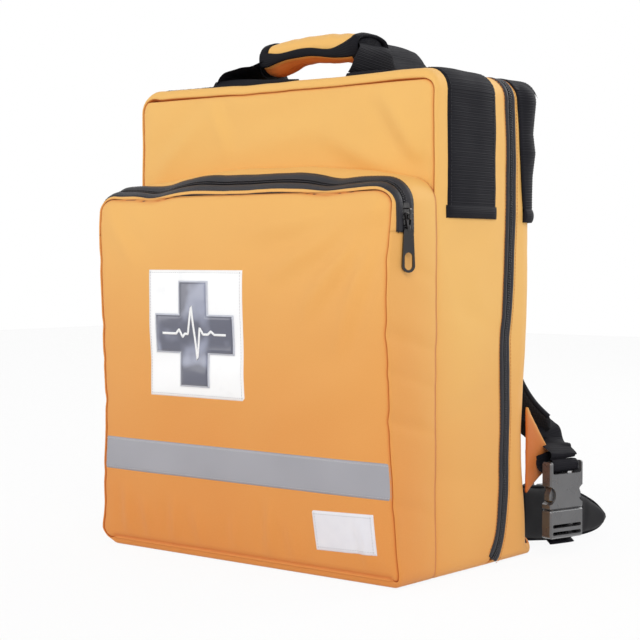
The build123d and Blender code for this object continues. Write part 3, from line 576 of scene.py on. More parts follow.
def normals(grid, wrap=False):
    """Outward normals of a grid of points, where columns run with rows to their left."""
    if wrap:
        across = np.roll(grid, -1, 1) - np.roll(grid, 1, 1)
    else:
        across = np.gradient(grid, axis=1)
    along = np.gradient(grid, axis=0)
    normal = np.cross(across, along)
    size = np.linalg.norm(normal, axis=2, keepdims=True)
    return normal / np.maximum(size, 1e-12)


def blur(values, wrap=False, passes=2):
    """Smooth a grid of values or vectors with its neighbours."""
    for _ in range(passes):
        if wrap:
            beside = np.roll(values, 1, 1) + np.roll(values, -1, 1)
        else:
            wide = np.concatenate([values[:, :1], values, values[:, -1:]], 1)
            beside = wide[:, 2:] + wide[:, :-2]
        tall = np.concatenate([values[:1], values, values[-1:]], 0)
        values = (2 * values + beside + tall[2:] + tall[:-2]) / 6
    return values


def unevenness(grid, size, seed, detail=2.0):
    """Smooth noise of about -1 to 1 over a grid of points, with features of a given size."""
    shape = grid.shape[:-1]
    offset = Vector((seed * 7.3, seed * 3.1, seed * 1.7))
    values = [
        noise.fractal(Vector(point) / size + offset, 1.0, 2.0, detail)
        for point in grid.reshape(-1, 3)
    ]
    return np.array(values).reshape(shape)


def crease(across, up, start, end, width, height):
    """A soft fold along a line on a panel, which fades at both ends, with a hollow beside it."""
    start, end = np.array(start), np.array(end)
    run = end - start
    share = ((across - start[0]) * run[0] + (up - start[1]) * run[1]) / (run @ run)
    square = ((across - start[0]) * -run[1] + (up - start[1]) * run[0]) / np.linalg.norm(run)
    fade = np.sin(np.pi * np.clip(share, 0, 1)) ** 0.7
    return height * fade * (hump(square, 0, width) - 0.7 * hump(square, 1.7 * width, width))


def new_object(name, points, faces, finishes, picks=None, smooth=True):
    """A mesh object at the origin. picks gives each face's place in finishes."""
    mesh = bpy.data.meshes.new(name)
    mesh.from_pydata([tuple(point) for point in points], [], [tuple(face) for face in faces])
    for each in finishes:
        mesh.materials.append(finish(each))
    if picks is not None:
        mesh.polygons.foreach_set("material_index", np.asarray(picks, dtype=np.int32))
    mesh.polygons.foreach_set("use_smooth", np.full(len(mesh.polygons), smooth))
    mesh.update()
    made = bpy.data.objects.new(name, mesh)
    bpy.context.scene.collection.objects.link(made)
    return made


def lengths(grid, axis):
    """Distance along one direction of a grid, averaged over the other."""
    steps = np.linalg.norm(np.diff(grid, axis=axis), axis=2).mean(1 - axis)
    return np.concatenate([[0.0], np.cumsum(steps)])


def cloth_sheet(name, outer, inner, finishes, wrap=False, keep=None, seam=None, rib=None):
    """A closed sheet between two grids of points, with walls along every open edge.

    finishes are those of the outer and the inner side. keep is a mask over the grid's cells.
    seam and rib are values at the outer points, which the finishes read: seam darkens the nylon as painted shade, and
    rib lightens the webbing's rib crests as painted highlight.
    """
    rows, columns = outer.shape[:2]
    cells = columns if wrap else columns - 1
    if keep is None:
        keep = np.ones((rows - 1, cells), bool)
    index = np.arange(rows * columns).reshape(rows, columns)
    right = np.roll(index, -1, 1) if wrap else index[:, 1:]
    left = index if wrap else index[:, :-1]
    quads = np.stack([left[:-1], right[:-1], right[1:], left[1:]], 2)[keep]
    count = rows * columns
    backs = quads[:, ::-1] + count
    edges = np.concatenate([quads[:, [a, (a + 1) % 4]] for a in range(4)])
    keys = np.sort(edges, 1) @ np.array([count, 1])
    unique, first, seen = np.unique(keys, return_index=True, return_counts=True)
    rims = edges[first[seen == 1]]
    walls = np.stack([rims[:, 1], rims[:, 0], rims[:, 0] + count, rims[:, 1] + count], 1)
    faces = np.concatenate([quads, backs, walls])
    picks = np.concatenate([np.zeros(len(quads)), np.ones(len(backs)), np.zeros(len(walls))])
    points = np.concatenate([outer.reshape(-1, 3), inner.reshape(-1, 3)])
    used = np.zeros(len(points), bool)
    used[faces.ravel()] = True
    renumber = np.cumsum(used) - 1
    made = new_object(name, points[used], renumber[faces], finishes, picks)
    write_map(made.data, outer, wrap, columns, faces, count)
    for label, values in (("seam", seam), ("rib", rib)):
        if values is not None:
            both = np.concatenate([values.ravel(), values.ravel()])[used]
            made.data.attributes.new(label, "FLOAT", "POINT").data.foreach_set("value", both)
    return made


def write_map(mesh, outer, wrap, columns, faces, count):
    """The cloth's own map, in metres along its columns and rows."""
    closed = np.concatenate([outer, outer[:, :1]], 1) if wrap else outer
    across, up = lengths(closed, 1), lengths(outer, 0)
    place = faces % count
    column, row = place % columns, place // columns
    last = column.max(1, keepdims=True)
    turned = wrap & (column == 0) & (last == columns - 1)
    column = np.where(turned, columns, column)
    uv = np.stack([across[column], up[row]], 2)
    mesh.uv_layers.new(name="cloth").data.foreach_set("uv", uv.astype(np.float32).ravel())


def finished(piece, body, replaced=()):
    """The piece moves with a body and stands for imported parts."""
    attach(piece, body)
    if replaced:
        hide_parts(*replaced)
    return piece


def bending(piece, bodies, start, end, slot, replaced=()):
    """For a piece that lies between two bodies: bakes its place into its points and stands for imported parts."""
    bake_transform(piece)
    if replaced:
        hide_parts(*replaced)
    return piece


# ---------------------------------------------------------------- what repeats along a path
def repeat_tree():
    """Geometry Nodes that set a small part along a path, its x along the path, its z on the face."""
    name = "repeat_along_path"
    if name in bpy.data.node_groups:
        return bpy.data.node_groups[name]
    tree = bpy.data.node_groups.new(name, "GeometryNodeTree")
    tree.interface.new_socket("Path", in_out="INPUT", socket_type="NodeSocketGeometry")
    for label, kind in (("Pitch", "NodeSocketFloat"), ("Part", "NodeSocketObject"), ("Finish", "NodeSocketMaterial")):
        tree.interface.new_socket(label, in_out="INPUT", socket_type=kind)
    tree.interface.new_socket("Pieces", in_out="OUTPUT", socket_type="NodeSocketGeometry")

    def add(kind, **settings):
        made = tree.nodes.new(kind)
        for key, value in settings.items():
            setattr(made, key, value)
        return made

    def join(source, output, target, slot):
        tree.links.new(source.outputs[output], target.inputs[slot])

    given, result = add("NodeGroupInput"), add("NodeGroupOutput")
    curve, even = add("GeometryNodeMeshToCurve"), add("GeometryNodeResampleCurve", mode="LENGTH")
    tangent = add("GeometryNodeInputTangent")
    face = add("GeometryNodeInputNamedAttribute", data_type="FLOAT_VECTOR")
    face.inputs["Name"].default_value = "face"
    aim = add("FunctionNodeAlignRotationToVector", axis="X")
    lift = add("FunctionNodeAlignRotationToVector", axis="Z", pivot_axis="X")
    part = add("GeometryNodeObjectInfo")
    put_parts, solid = add("GeometryNodeInstanceOnPoints"), add("GeometryNodeRealizeInstances")
    paint = add("GeometryNodeSetMaterial")
    join(given, "Path", curve, "Mesh")
    join(curve, "Curve", even, "Curve")
    join(given, "Pitch", even, "Length")
    join(tangent, "Tangent", aim, "Vector")
    join(aim, "Rotation", lift, "Rotation")
    join(face, "Attribute", lift, "Vector")
    join(given, "Part", part, "Object")
    join(even, "Curve", put_parts, "Points")
    join(part, "Geometry", put_parts, "Instance")
    join(lift, "Rotation", put_parts, "Rotation")
    join(put_parts, "Instances", solid, "Geometry")
    join(solid, "Geometry", paint, "Geometry")
    join(given, "Finish", paint, "Material")
    join(paint, "Geometry", result, "Pieces")
    return tree


def path_mesh(name, paths):
    """Edges along each path, with the direction that its face looks in at every point."""
    points = np.concatenate([path for path, _ in paths])
    faces = np.concatenate([np.broadcast_to(face, path.shape) for path, face in paths])
    edges, start = [], 0
    for path, _ in paths:
        edges += [(start + step, start + step + 1) for step in range(len(path) - 1)]
        start += len(path)
    mesh = bpy.data.meshes.new(name)
    mesh.from_pydata([tuple(point) for point in points], edges, [])
    mesh.attributes.new("face", "FLOAT_VECTOR", "POINT").data.foreach_set("vector", faces.ravel())
    return mesh


def repeat_along(name, paths, part, pitch, look):
    """Copies of a part along paths, as one plain mesh. A path is its points and its face's direction."""
    holder = bpy.data.objects.new(name, path_mesh(name, paths))
    bpy.context.scene.collection.objects.link(holder)
    tree = repeat_tree()
    modifier = holder.modifiers.new("repeat", "NODES")
    modifier.node_group = tree
    sockets = {
        item.name: item.identifier for item in tree.interface.items_tree if item.in_out == "INPUT"
    }
    modifier[sockets["Pitch"]] = pitch
    modifier[sockets["Part"]] = part
    modifier[sockets["Finish"]] = finish(look)
    bpy.context.view_layer.update()
    ready = holder.evaluated_get(bpy.context.evaluated_depsgraph_get())
    mesh = bpy.data.meshes.new_from_object(ready)
    mesh.name = name
    holder.modifiers.remove(modifier)
    holder.data = mesh
    if not mesh.materials:
        mesh.materials.append(finish(look))
    return holder


def small_part(name, length, width, height, sides=6):
    """A small rounded bar along x, kept out of the scene and only copied from."""
    stations = ((-0.5, 0.45), (-0.36, 1.0), (0.36, 1.0), (0.5, 0.45))
    angles = np.linspace(0, 2 * np.pi, sides, endpoint=False)
    points = [
        (x * length, share * width / 2 * math.cos(turn), share * height / 2 * math.sin(turn))
        for x, share in stations for turn in angles
    ]
    faces = [
        (row * sides + side, row * sides + (side + 1) % sides,
         (row + 1) * sides + (side + 1) % sides, (row + 1) * sides + side)
        for row in range(len(stations) - 1) for side in range(sides)
    ]
    faces = [face[::-1] for face in faces]
    faces += [tuple(range(sides)), tuple(range(3 * sides, 4 * sides))[::-1]]
    mesh = bpy.data.meshes.new(name)
    mesh.from_pydata(points, [], faces)
    mesh.polygons.foreach_set("use_smooth", [True] * len(faces))
    return bpy.data.objects.new(name, mesh)


def sewn(name, paths, look, body=None, blend=None, size=1.0):
    """A row of stitches along each path."""
    pitch = trim().stitch_pitch * size
    stitch = small_part(name + "_stitch", 0.72 * pitch, 0.55 * mm * size, 0.5 * mm * size)
    made = repeat_along(name, paths, stitch, pitch, look)
    bpy.data.objects.remove(stitch)
    slot = "black_webbing" if look == "black_thread" else "orange_nylon"
    if blend:
        return bending(made, *blend, slot)
    return finished(made, body)


def on_grid(grid, facing, row=None, column=None, start=0, end=None, lift=0.0):
    """A path along one row or column of a grid, a little over its surface."""
    place = (row, slice(start, end)) if row is not None else (slice(start, end), column)
    return grid[place] + facing[place] * lift, facing[place]

# ---------------------------------------------------------------- the compartments' shapes
def facing_of(points, closed=True):
    """Outward direction of an outline at each of its points."""
    if closed:
        along = np.roll(points, -1, 0) - np.roll(points, 1, 0)
    else:
        along = np.gradient(points, axis=0)
    facing = np.stack([along[:, 1], -along[:, 0]], 1)
    return facing / np.linalg.norm(facing, axis=1, keepdims=True)


def arcs(points):
    """Distance along an outline to each of its points."""
    return np.concatenate([[0.0], np.cumsum(np.linalg.norm(np.diff(points, axis=0), axis=1))])


def arc_near(points, x, z):
    """Distance along an outline to its point nearest to x and z."""
    at = arcs(points)
    fine = np.linspace(0, at[-1], 6000)
    gaps = np.hypot(np.interp(fine, at, points[:, 0]) - x, np.interp(fine, at, points[:, 1]) - z)
    return fine[gaps.argmin()]


def stretch(points, start, end, step):
    """Even points from one place (x, z) to another along an outline, in its direction."""
    at = arcs(points)
    low_arc, high_arc = arc_near(points, *start), arc_near(points, *end)
    count = max(2, int(round(abs(high_arc - low_arc) / step)) + 1)
    places = np.linspace(low_arc, high_arc, count)
    return np.stack([np.interp(places, at, points[:, axis]) for axis in (0, 1)], 1)


BASE_LIFT = 0.6 * mm
MAIN = outline(BAG_X, BASE_LIFT, BAG_H, BASE_R, TOP_R)
POCKET = outline(BAG_X, BASE_LIFT, POCKET_H, BASE_R, TOP_R)


def off_base(z):
    """0 on the base and 1 from a little above it."""
    return ease((z - 2 * mm) / (14 * mm))


def skin(points, facing, y, swell):
    """Points at depths y (rows) along an outline (columns), moved outwards by swell."""
    y = np.broadcast_to(y, np.broadcast_shapes(np.shape(y), np.shape(swell), (1, len(points))))
    grid = np.empty(y.shape + (3,))
    grid[..., 0] = points[:, 0] + facing[:, 0] * swell
    grid[..., 1] = y
    grid[..., 2] = points[:, 1] + facing[:, 1] * swell
    return grid


def main_swell(points, y):
    """How far the main compartment's sides and top stand out or sag."""
    x, z = points[:, 0], points[:, 1]
    facing = facing_of(points, False)
    flat = skin(points, facing, y, 0.0)
    middle = np.cos(np.clip((flat[..., 1] - 5 * mm) / (60 * mm), -1, 1) * np.pi / 2)
    soft = unevenness(flat, 70 * mm, 3) + 0.35 * unevenness(flat, 26 * mm, 8)
    shape = cloth()
    swell = 0.5 * shape.fullness * middle + shape.rumple * 0.55 * soft
    side = np.abs(x) > BAG_X - 4 * mm
    sag = -2.2 * mm * hump(x, 0, 120 * mm) * np.cos((flat[..., 1] - 20 * mm) / (100 * mm))
    swell = swell + np.where(side, 0.0, sag) * (z > BAG_H / 2)
    for height, depth, at, lean in (
        (300 * mm, 0.9 * mm, -10 * mm, 0.35), (232 * mm, 1.1 * mm, 10 * mm, -0.3),
        (150 * mm, 0.9 * mm, 0.0, 0.25), (84 * mm, 0.8 * mm, -14 * mm, -0.2),
    ):
        fold = hump(z - height - lean * flat[..., 1], 0, 11 * mm) * hump(flat[..., 1], at, 42 * mm)
        swell = swell - depth * fold * side
    y = flat[..., 1]
    full_left = 5.5 * mm * ease((z - 240 * mm) / (70 * mm)) * ease((5 * mm - y) / (50 * mm))
    waist = (2.4 + 3.8 * ease((y + 40 * mm) / (150 * mm))) * mm * hump(z, 112 * mm, 78 * mm)
    swell = swell + full_left * np.clip(-facing[:, 0], 0, 1) - waist * np.clip(facing[:, 0], 0, 1)
    swell = swell + 2.4 * mm * np.clip(facing[:, 1], 0, 1) * ease((y + 60 * mm) / (20 * mm))
    return swell * off_base(z)


def pocket_lift(x, y):
    """How far the pocket's top stands over its level; it rises from the zip to the main panel."""
    share = np.clip((y + 113 * mm) / (60 * mm), 0, 1)
    crown = (4 + 15 * (1 - np.clip(np.abs(x) / (165 * mm), 0, 1) ** 2.2)) * mm
    rise = -8 * mm + (crown + 8 * mm) * np.sin(share * np.pi / 2) ** 0.8
    near_zip = hump(y, -97 * mm, 20 * mm)
    for at, height in ((-175, 3), (-112, -4), (-55, 2), (105, -4), (158, 2)):
        rise = rise + height * mm * near_zip * hump(x, at * mm, 22 * mm)
    return rise


def pocket_grid(points, y, over=0.0):
    """Points on the pocket's sides and top at depths y, a little over the cloth."""
    facing = facing_of(points, False)
    x, z = points[:, 0], points[:, 1]
    flat = skin(points, facing, y, 0.0)
    y = flat[..., 1]
    shape = cloth()
    middle = np.cos(np.clip((y + 88 * mm) / (38 * mm), -1, 1) * np.pi / 2)
    soft = unevenness(flat, 55 * mm, 5) + 0.4 * unevenness(flat, 20 * mm, 9)
    swell = 0.55 * shape.fullness * middle + 0.5 * shape.rumple * soft
    side = hump(np.abs(x), BAG_X, 6 * mm)
    for height, depth, width in ((205, 1.5, 7), (132, 1.6, 6), (268, 1.1, 8), (60, 1.1, 7), (172, 0.9, 5)):
        fold = hump(z - height * mm + 0.25 * (y + 60 * mm), 0, width * mm)
        swell = swell - depth * mm * fold * side * np.clip(-(y + 48 * mm) / (30 * mm), 0, 1)
    pull = 9.5 * mm * np.exp(-(((z - 190 * mm) / (110 * mm)) ** 4)) - 7 * mm * hump(z, 12 * mm, 22 * mm)
    swell = swell - pull * np.clip(-facing[:, 0], 0, 1) * np.clip(-(y + 50 * mm) / (38 * mm), 0, 1)
    grid = skin(points, facing, y, (swell + over) * off_base(z))
    upper = np.clip((z - POCKET_H + TOP_R) / TOP_R, 0, 1)
    grid[..., 2] += pocket_lift(x, y) * upper
    return grid


def edge_insets(facing, side, top, base):
    """How far an edge's rounding reaches in from an outline: on its sides, top and base."""
    share = facing[:, 0] ** 2
    level = np.where(facing[:, 1] > 0, top, base)
    return side * share + level * (1 - share)


def rolled_edge(start, facing, reach, depth, toward, steps=5):
    """Rows that turn from a ring's last row onto its face, and dip into the seam there."""
    rows = []
    for turn in np.linspace(0, np.pi / 2, steps + 1)[1:]:
        row = start.copy()
        row[:, 1] += toward * depth * np.sin(turn)
        row[:, 0] -= facing[:, 0] * reach * (1 - np.cos(turn))
        row[:, 2] -= facing[:, 1] * reach * (1 - np.cos(turn))
        rows.append(row)
    dip = cloth().seam_depth
    for inward, share in ((0.6 * mm, 0.35), (0.9 * mm, 1.0)):
        row = rows[steps - 1].copy()
        row[:, 0] -= facing[:, 0] * inward
        row[:, 2] -= facing[:, 1] * inward
        row[:, 1] -= toward * dip * share
        rows.append(row)
    return np.stack(rows)


def near_edge(x, z, edge):
    """Distance of points from a closed outline, and the distance along it to the nearest place."""
    starts, steps = edge, np.roll(edge, -1, 0) - edge
    at = np.concatenate([[0.0], np.cumsum(np.linalg.norm(steps, axis=1))])
    away, along = np.empty(x.shape), np.empty(x.shape)
    for row in range(len(x)):
        gap = np.stack([x[row], z[row]], 1)[:, None] - starts
        share = np.clip((gap * steps).sum(2) / np.maximum((steps * steps).sum(1), 1e-12), 0, 1)
        far = np.linalg.norm(gap - share[..., None] * steps, axis=2)
        best = far.argmin(1)
        pick = np.arange(len(best))
        away[row] = far[pick, best]
        along[row] = at[best] + share[pick, best] * np.diff(at)[best]
    return away, along


EDGE_STEPS = np.array([0.0, 0.5, 1.1, 1.9, 3.2, 5.2, 8.0]) * mm


def climbing(side):
    """The part of one side of an outline, from its base up, where z rises."""
    rising = np.concatenate([[True], np.diff(side[:, 1]) > 1e-7]) & (np.abs(side[:, 0]) > 1e-9)
    first = max(np.argmax(rising) - 1, 0)
    return side[first:][np.concatenate([[True], rising[first + 1:]])]


def sides_of(edge):
    """The left and the right side of an outline, each from its base up."""
    middle = len(edge) // 2
    return climbing(np.concatenate([edge[middle:], edge[:1]])[::-1]), climbing(edge[: middle + 1])


def panel_places(edge, step=4 * mm):
    """x and z of a grid over the face inside an outline, finer beside its edges."""
    left, right = sides_of(edge)
    low_z, high_z = max(right[0, 1], left[0, 1]), min(right[-1, 1], left[-1, 1])
    inner = EDGE_STEPS[-1]
    count = int((high_z - low_z - 2 * inner) / step)
    z = np.concatenate([
        low_z + EDGE_STEPS, np.linspace(low_z + inner, high_z - inner, count + 1)[1:-1],
        high_z - EDGE_STEPS[::-1],
    ])
    start, end = (np.interp(z, side[:, 1], side[:, 0])[:, None] for side in (left, right))
    share = np.linspace(0, 1, int((end - start).max() / step))[1:-1]
    between = start + inner + (end - start - 2 * inner) * share
    return np.concatenate([start + EDGE_STEPS, between, end - EDGE_STEPS[::-1]], 1), np.repeat(
        z[:, None], len(share) + 2 * len(EDGE_STEPS), 1
    )


def panel_rise(x, z, level, edge, relief):
    """How far a panel stands out from its level at x and z, and how near it is to its seam."""
    away, along = near_edge(x, z, edge)
    shape = cloth()
    ground = np.stack([x, level, z], 2)
    soft = unevenness(ground, 90 * mm, 11) + 0.3 * unevenness(ground, 30 * mm, 12)
    puckers = unevenness(np.stack([along, 0 * along, away * 0.25], 2), 9 * mm, 13, 1.0)
    inside = 1 - np.exp(-away / (25 * mm))
    rise = shape.fullness * 0.85 * inside + shape.rumple * 0.7 * soft * inside
    rise = rise + 0.45 * mm * puckers * np.exp(-away / (11 * mm))
    if relief is not None:
        rise = rise + relief(x, z) * (1 - np.exp(-away / (6 * mm)))
    # The second value darkens the nylon next to the seam: painted shade.
    return rise - shape.seam_depth * np.exp(-away / (0.9 * mm)), np.exp(-away / (1.1 * mm))


def panel(name, edge, face, finishes, relief=None, back=False, thick=4.2 * mm):
    """A panel of cloth that fills an outline and curls down into the seam round it.

    face gives its y at a height, and relief how far its folds stand out at x and z.
    """
    x, z = panel_places(edge)
    out = 1.0 if back else -1.0
    level = face(z) if callable(face) else np.full(x.shape, face)
    rise, seam = panel_rise(x, z, level, edge, relief)
    outer = np.stack([x, level + out * rise, z], 2)
    inner = np.stack([x, level - out * thick, z], 2)
    if back:
        outer, inner, seam = outer[:, ::-1], inner[:, ::-1], seam[:, ::-1]
    return cloth_sheet(name, outer, inner, finishes, seam=seam)


# Where the seams of the two halves lie: reach of the rounding in from each face.
FRONT_SIDE, FRONT_TOP, FRONT_BASE, FRONT_ROLL = 2.5 * mm, 8.5 * mm, 3 * mm, 7 * mm
REAR_TOP, REAR_BASE = 9 * mm, 6 * mm
TAPE_HALF = 8.5 * mm     # from the main zip's line to the tape's outer edge
UNDER_TAPE = 7.2 * mm    # the nylon starts under the tape, this far from the line
NYLON_T = 4.2 * mm


def zip_rows(points, near, far, end, count):
    """Depths from the main zip's edge to another depth: rows of y, and of z along the zip's curve."""
    on_side = off_base(points[:, 1])
    y, z = zip_offset(points, near * on_side + far * (1 - on_side))
    share = np.linspace(0, 1, count)[:, None] ** 1.15
    return y * (1 - share) + end * share, z * (1 - share) + points[:, 1] * share


def half_shell(name, side, end, reach, roll):
    """One half's sides, top and base, from the zip's tape to the seam of its panel."""
    facing = facing_of(MAIN)
    y, z = zip_rows(MAIN, side * UNDER_TAPE, side * 0.3 * mm, end - side * roll, 27)
    swell = main_swell(MAIN, y)
    near_tape = np.exp(-np.arange(len(y)) / 0.8)[:, None] * off_base(MAIN[:, 1])
    swell = swell - 1.6 * mm * near_tape
    outer = skin(MAIN, facing, y, swell)
    outer[..., 2] += z - MAIN[:, 1]
    edge = rolled_edge(outer[-1], facing, reach, roll, side)
    seam = np.zeros(outer.shape[:2])
    # Painted shade: the row beside the zip's tape and the rows that dip into the panel's seam get seam values, which
    # darken the nylon there.
    seam[0] = 0.6
    outer = np.concatenate([outer, edge])
    seam = np.concatenate([seam, np.tile([[0.0]] * 5 + [[0.6], [1.0]], len(MAIN))])
    sunk = np.minimum(np.concatenate([swell, np.tile(swell[-1], (len(edge), 1))]), 0)
    inner_y = np.clip(outer[..., 1], FRONT_Y + NYLON_T, REAR_Y - NYLON_T)
    inner = skin(MAIN, facing, inner_y, sunk - NYLON_T)
    inner[..., 2] += np.concatenate([z - MAIN[:, 1], np.zeros((len(edge), len(MAIN)))])
    inner[-len(edge):, :, 0] = edge[..., 0] - facing[:, 0] * NYLON_T
    inner[-len(edge):, :, 2] = edge[..., 2] - facing[:, 1] * NYLON_T
    if side > 0:
        outer, inner, seam = outer[:, ::-1], inner[:, ::-1], seam[:, ::-1]
    made = cloth_sheet(name, outer, inner, ("orange_nylon", "lining"), wrap=True, seam=seam)
    return made, edge[-1][:, [0, 2]]


def main_relief(x, z):
    """Folds of the main panel over the pocket: it dips at the pocket's corners."""
    folds = crease(x, z, (156 * mm, 352 * mm), (50 * mm, 402 * mm), 11 * mm, 2.6 * mm)
    folds = folds + crease(x, z, (170 * mm, 362 * mm), (116 * mm, 440 * mm), 9 * mm, 2.4 * mm)
    folds = folds + crease(x, z, (-168 * mm, 362 * mm), (-84 * mm, 428 * mm), 12 * mm, 2.2 * mm)
    folds = folds + crease(x, z, (-96 * mm, 448 * mm), (-62 * mm, 380 * mm), 9 * mm, 1.8 * mm)
    folds = folds - 3.0 * mm * hump(x, 163 * mm, 16 * mm) * hump(z, 366 * mm, 12 * mm)
    folds = folds + crease(x, z, (-60 * mm, 388 * mm), (90 * mm, 410 * mm), 14 * mm, 1.8 * mm)
    return folds


def pocket_relief(x, z):
    """Folds of the pocket's front: a fan from its upper corners and short tucks over its base."""
    folds = np.zeros(x.shape)
    for end, width, height in (
        ((10, 306), 11, 2.6), ((44, 268), 10, 3.4), ((84, 232), 9, 3.0), ((122, 196), 8, 2.2),
    ):
        folds += crease(x, z, (174 * mm, 336 * mm), (end[0] * mm, end[1] * mm), width * mm, height * mm)
    for end, width, height in (((-118, 276), 10, 1.8), ((-70, 306), 11, 1.5)):
        folds += crease(x, z, (-172 * mm, 330 * mm), (end[0] * mm, end[1] * mm), width * mm, height * mm)
    for at, top, height, lean in (
        (-150, 66, 1.9, 5), (-118, 56, 1.5, -4), (-86, 60, 1.7, 6), (-50, 52, 1.3, -5),
        (-8, 50, 1.2, 4), (34, 68, 2.2, 8), (66, 50, 1.4, -4), (150, 60, 1.6, -6),
    ):
        folds += crease(x, z, (at * mm, 6 * mm), ((at + lean) * mm, top * mm), 6 * mm, height * mm)
    folds += crease(x, z, (-172 * mm, 150 * mm), (60 * mm, 176 * mm), 22 * mm, 1.2 * mm)
    folds += crease(x, z, (20 * mm, 130 * mm), (176 * mm, 186 * mm), 18 * mm, 1.4 * mm)
    folds += crease(x, z, (-30 * mm, 318 * mm), (110 * mm, 322 * mm), 14 * mm, 1.0 * mm)
    return folds


MOUTH_REAR, MOUTH_FRONT = POCKET_TAPE_REAR, POCKET_TAPE_FRONT
POCKET_SIDE, POCKET_TOP_REACH, POCKET_BASE, POCKET_ROLL = 1.5 * mm, 3 * mm, 8 * mm, 4 * mm


def pocket_rows():
    """Depths of the pocket's rows: behind the mouth, across it, and in front of it."""
    front = pocket_front(POCKET[:, 1]) + POCKET_ROLL
    start = FRONT_Y + 0.4 * mm
    mouth = np.maximum(MOUTH_FRONT, front + 2 * mm)
    across = np.linspace(MOUTH_REAR, MOUTH_FRONT, 6)[:, None]
    behind = np.linspace(start, MOUTH_REAR, 12)[:-1, None]
    back = (np.concatenate([behind, across]) - start) / (MOUTH_FRONT - start)
    share = np.linspace(0, 1, 4)[1:, None]
    before = mouth * (1 - share) + front * share
    return np.concatenate([start + back * (mouth - start), before]), len(behind), len(across)


@functools.cache
def pocket_skins():
    """Outer and inner points of the pocket's sides, top and base, with its front edge."""
    y, behind, across = pocket_rows()
    outer = pocket_grid(POCKET, y)
    facing = facing_of(POCKET)
    reach = edge_insets(facing, POCKET_SIDE, POCKET_TOP_REACH, POCKET_BASE)
    edge = rolled_edge(outer[-1], facing, reach, POCKET_ROLL, -1)
    inner = pocket_grid(POCKET, y, -2.0 * mm)
    inner_edge = edge.copy()
    inner_edge[..., 0] -= facing[:, 0] * 2.0 * mm
    inner_edge[..., 2] -= facing[:, 1] * 2.0 * mm
    inner_edge[..., 1] = np.maximum(inner_edge[..., 1], inner[-1, :, 1] - 1 * mm)
    # Painted shade: seam values darken the nylon where the pocket meets the front panel and down in its front seam.
    seam = np.concatenate([np.zeros(y.shape), np.tile([[0.0]] * 5 + [[0.6], [1.0]], len(POCKET))])
    seam[0] = 0.9
    outer, inner = np.concatenate([outer, edge]), np.concatenate([inner, inner_edge])
    return outer, inner, seam, behind, across, edge[-1][:, [0, 2]]


def pocket_face(x, z):
    """y of the cloth of the pocket's front at x and z."""
    level = pocket_front(z)
    return level - panel_rise(x, z, level, pocket_skins()[-1], pocket_relief)[0]


class BACKPACK_OT_shells(bpy.types.Operator):
    """Cloth of the rear half and the front half, each a gusset and a panel"""

    bl_idname = "backpack.shells"
    bl_label = "Shells"

    def execute(self, context):
        facing = facing_of(MAIN)
        reach = edge_insets(facing, FRONT_SIDE, FRONT_TOP, FRONT_BASE)
        gusset, edge = half_shell("front_gusset", -1, FRONT_Y, reach, FRONT_ROLL)
        finished(gusset, "lid", ("front_shell",))
        front = panel("front_panel", edge, FRONT_Y, ("orange_nylon", "lining"), main_relief)
        finished(front, "lid")
        rear_reach = edge_insets(facing, REAR_R, REAR_TOP, REAR_BASE)
        gusset, edge = half_shell("rear_gusset", 1, REAR_Y, rear_reach, rear_reach)
        finished(gusset, "root", ("rear_shell",))
        rear = panel("back_panel", edge, REAR_Y, ("orange_nylon", "lining"), back=True)
        finished(rear, "root")
        return {"FINISHED"}


FLAP_FOLD = (0.295, 0.313)    # two heights on the pocket's front, near its flap


class BACKPACK_OT_pocket(bpy.types.Operator):
    """Cloth of the front pocket, and of the flap that its zip lets down"""

    bl_idname = "backpack.pocket"
    bl_label = "Pocket"

    def execute(self, context):
        outer, inner, seam, behind, across, edge = pocket_skins()
        rows, columns = outer.shape[:2]
        low_z = np.minimum(outer[0, :, 2], np.roll(outer[0, :, 2], -1))
        over = np.broadcast_to(low_z > POCKET_ZIP_Z, (rows - 1, columns))
        row = np.arange(rows - 1)[:, None]
        gusset = cloth_sheet(
            "pocket_gusset", outer, inner, ("orange_nylon", "lining"), wrap=True,
            keep=~(over & (row >= behind)), seam=seam,
        )
        finished(gusset, "lid", ("pocket_shell",))
        rim = cloth_sheet(
            "flap_rim", outer, inner, ("orange_nylon", "lining"), wrap=True,
            keep=over & (row >= behind + across - 1), seam=seam,
        )
        finished(rim, "pocket_flap", ("pocket_flap",))
        front = panel(
            "pocket_front", edge, pocket_front, ("orange_nylon", "lining"), pocket_relief, thick=2 * mm
        )
        fold_y = low("pocket_flap").y
        start, end = ((0, fold_y, height) for height in FLAP_FOLD)
        bending(front, ("lid", "pocket_flap"), start, end, "orange_nylon")
        return {"FINISHED"}


# ---------------------------------------------------------------- tubes and ribbons
def tube(name, grid, look):
    """A closed solid whose rows are the sections along it, each a loop of columns."""
    rows, columns = grid.shape[:2]
    index = np.arange(rows * columns).reshape(rows, columns)
    right = np.roll(index, -1, 1)
    quads = np.stack([index[:-1], right[:-1], right[1:], index[1:]], 2).reshape(-1, 4)
    points = grid.reshape(-1, 3)
    middle = points.mean(0)
    first, second, third = (points[quads[:, corner]] - middle for corner in (0, 1, 2))
    inward = np.einsum("ij,ij->i", first, np.cross(second, third)).sum() < 0
    faces = [tuple(face) for face in quads]
    faces += [tuple(index[0][::-1]), tuple(index[-1])]
    if inward:
        faces = [face[::-1] for face in faces]
    made = new_object(name, points, faces, (look,))
    layer = made.data.uv_layers.new(name="cloth")
    across, up = lengths(np.concatenate([grid, grid[:, :1]], 1), 1), lengths(grid, 0)
    flat = []
    for face in faces:
        place = [divmod(vertex, columns) for vertex in face]
        turned = len(face) == 4 and {column for _, column in place} == {0, columns - 1}
        flat += [(across[columns if turned and column == 0 else column], up[row]) for row, column in place]
    layer.data.foreach_set("uv", np.array(flat, dtype=np.float32).ravel())
    return made


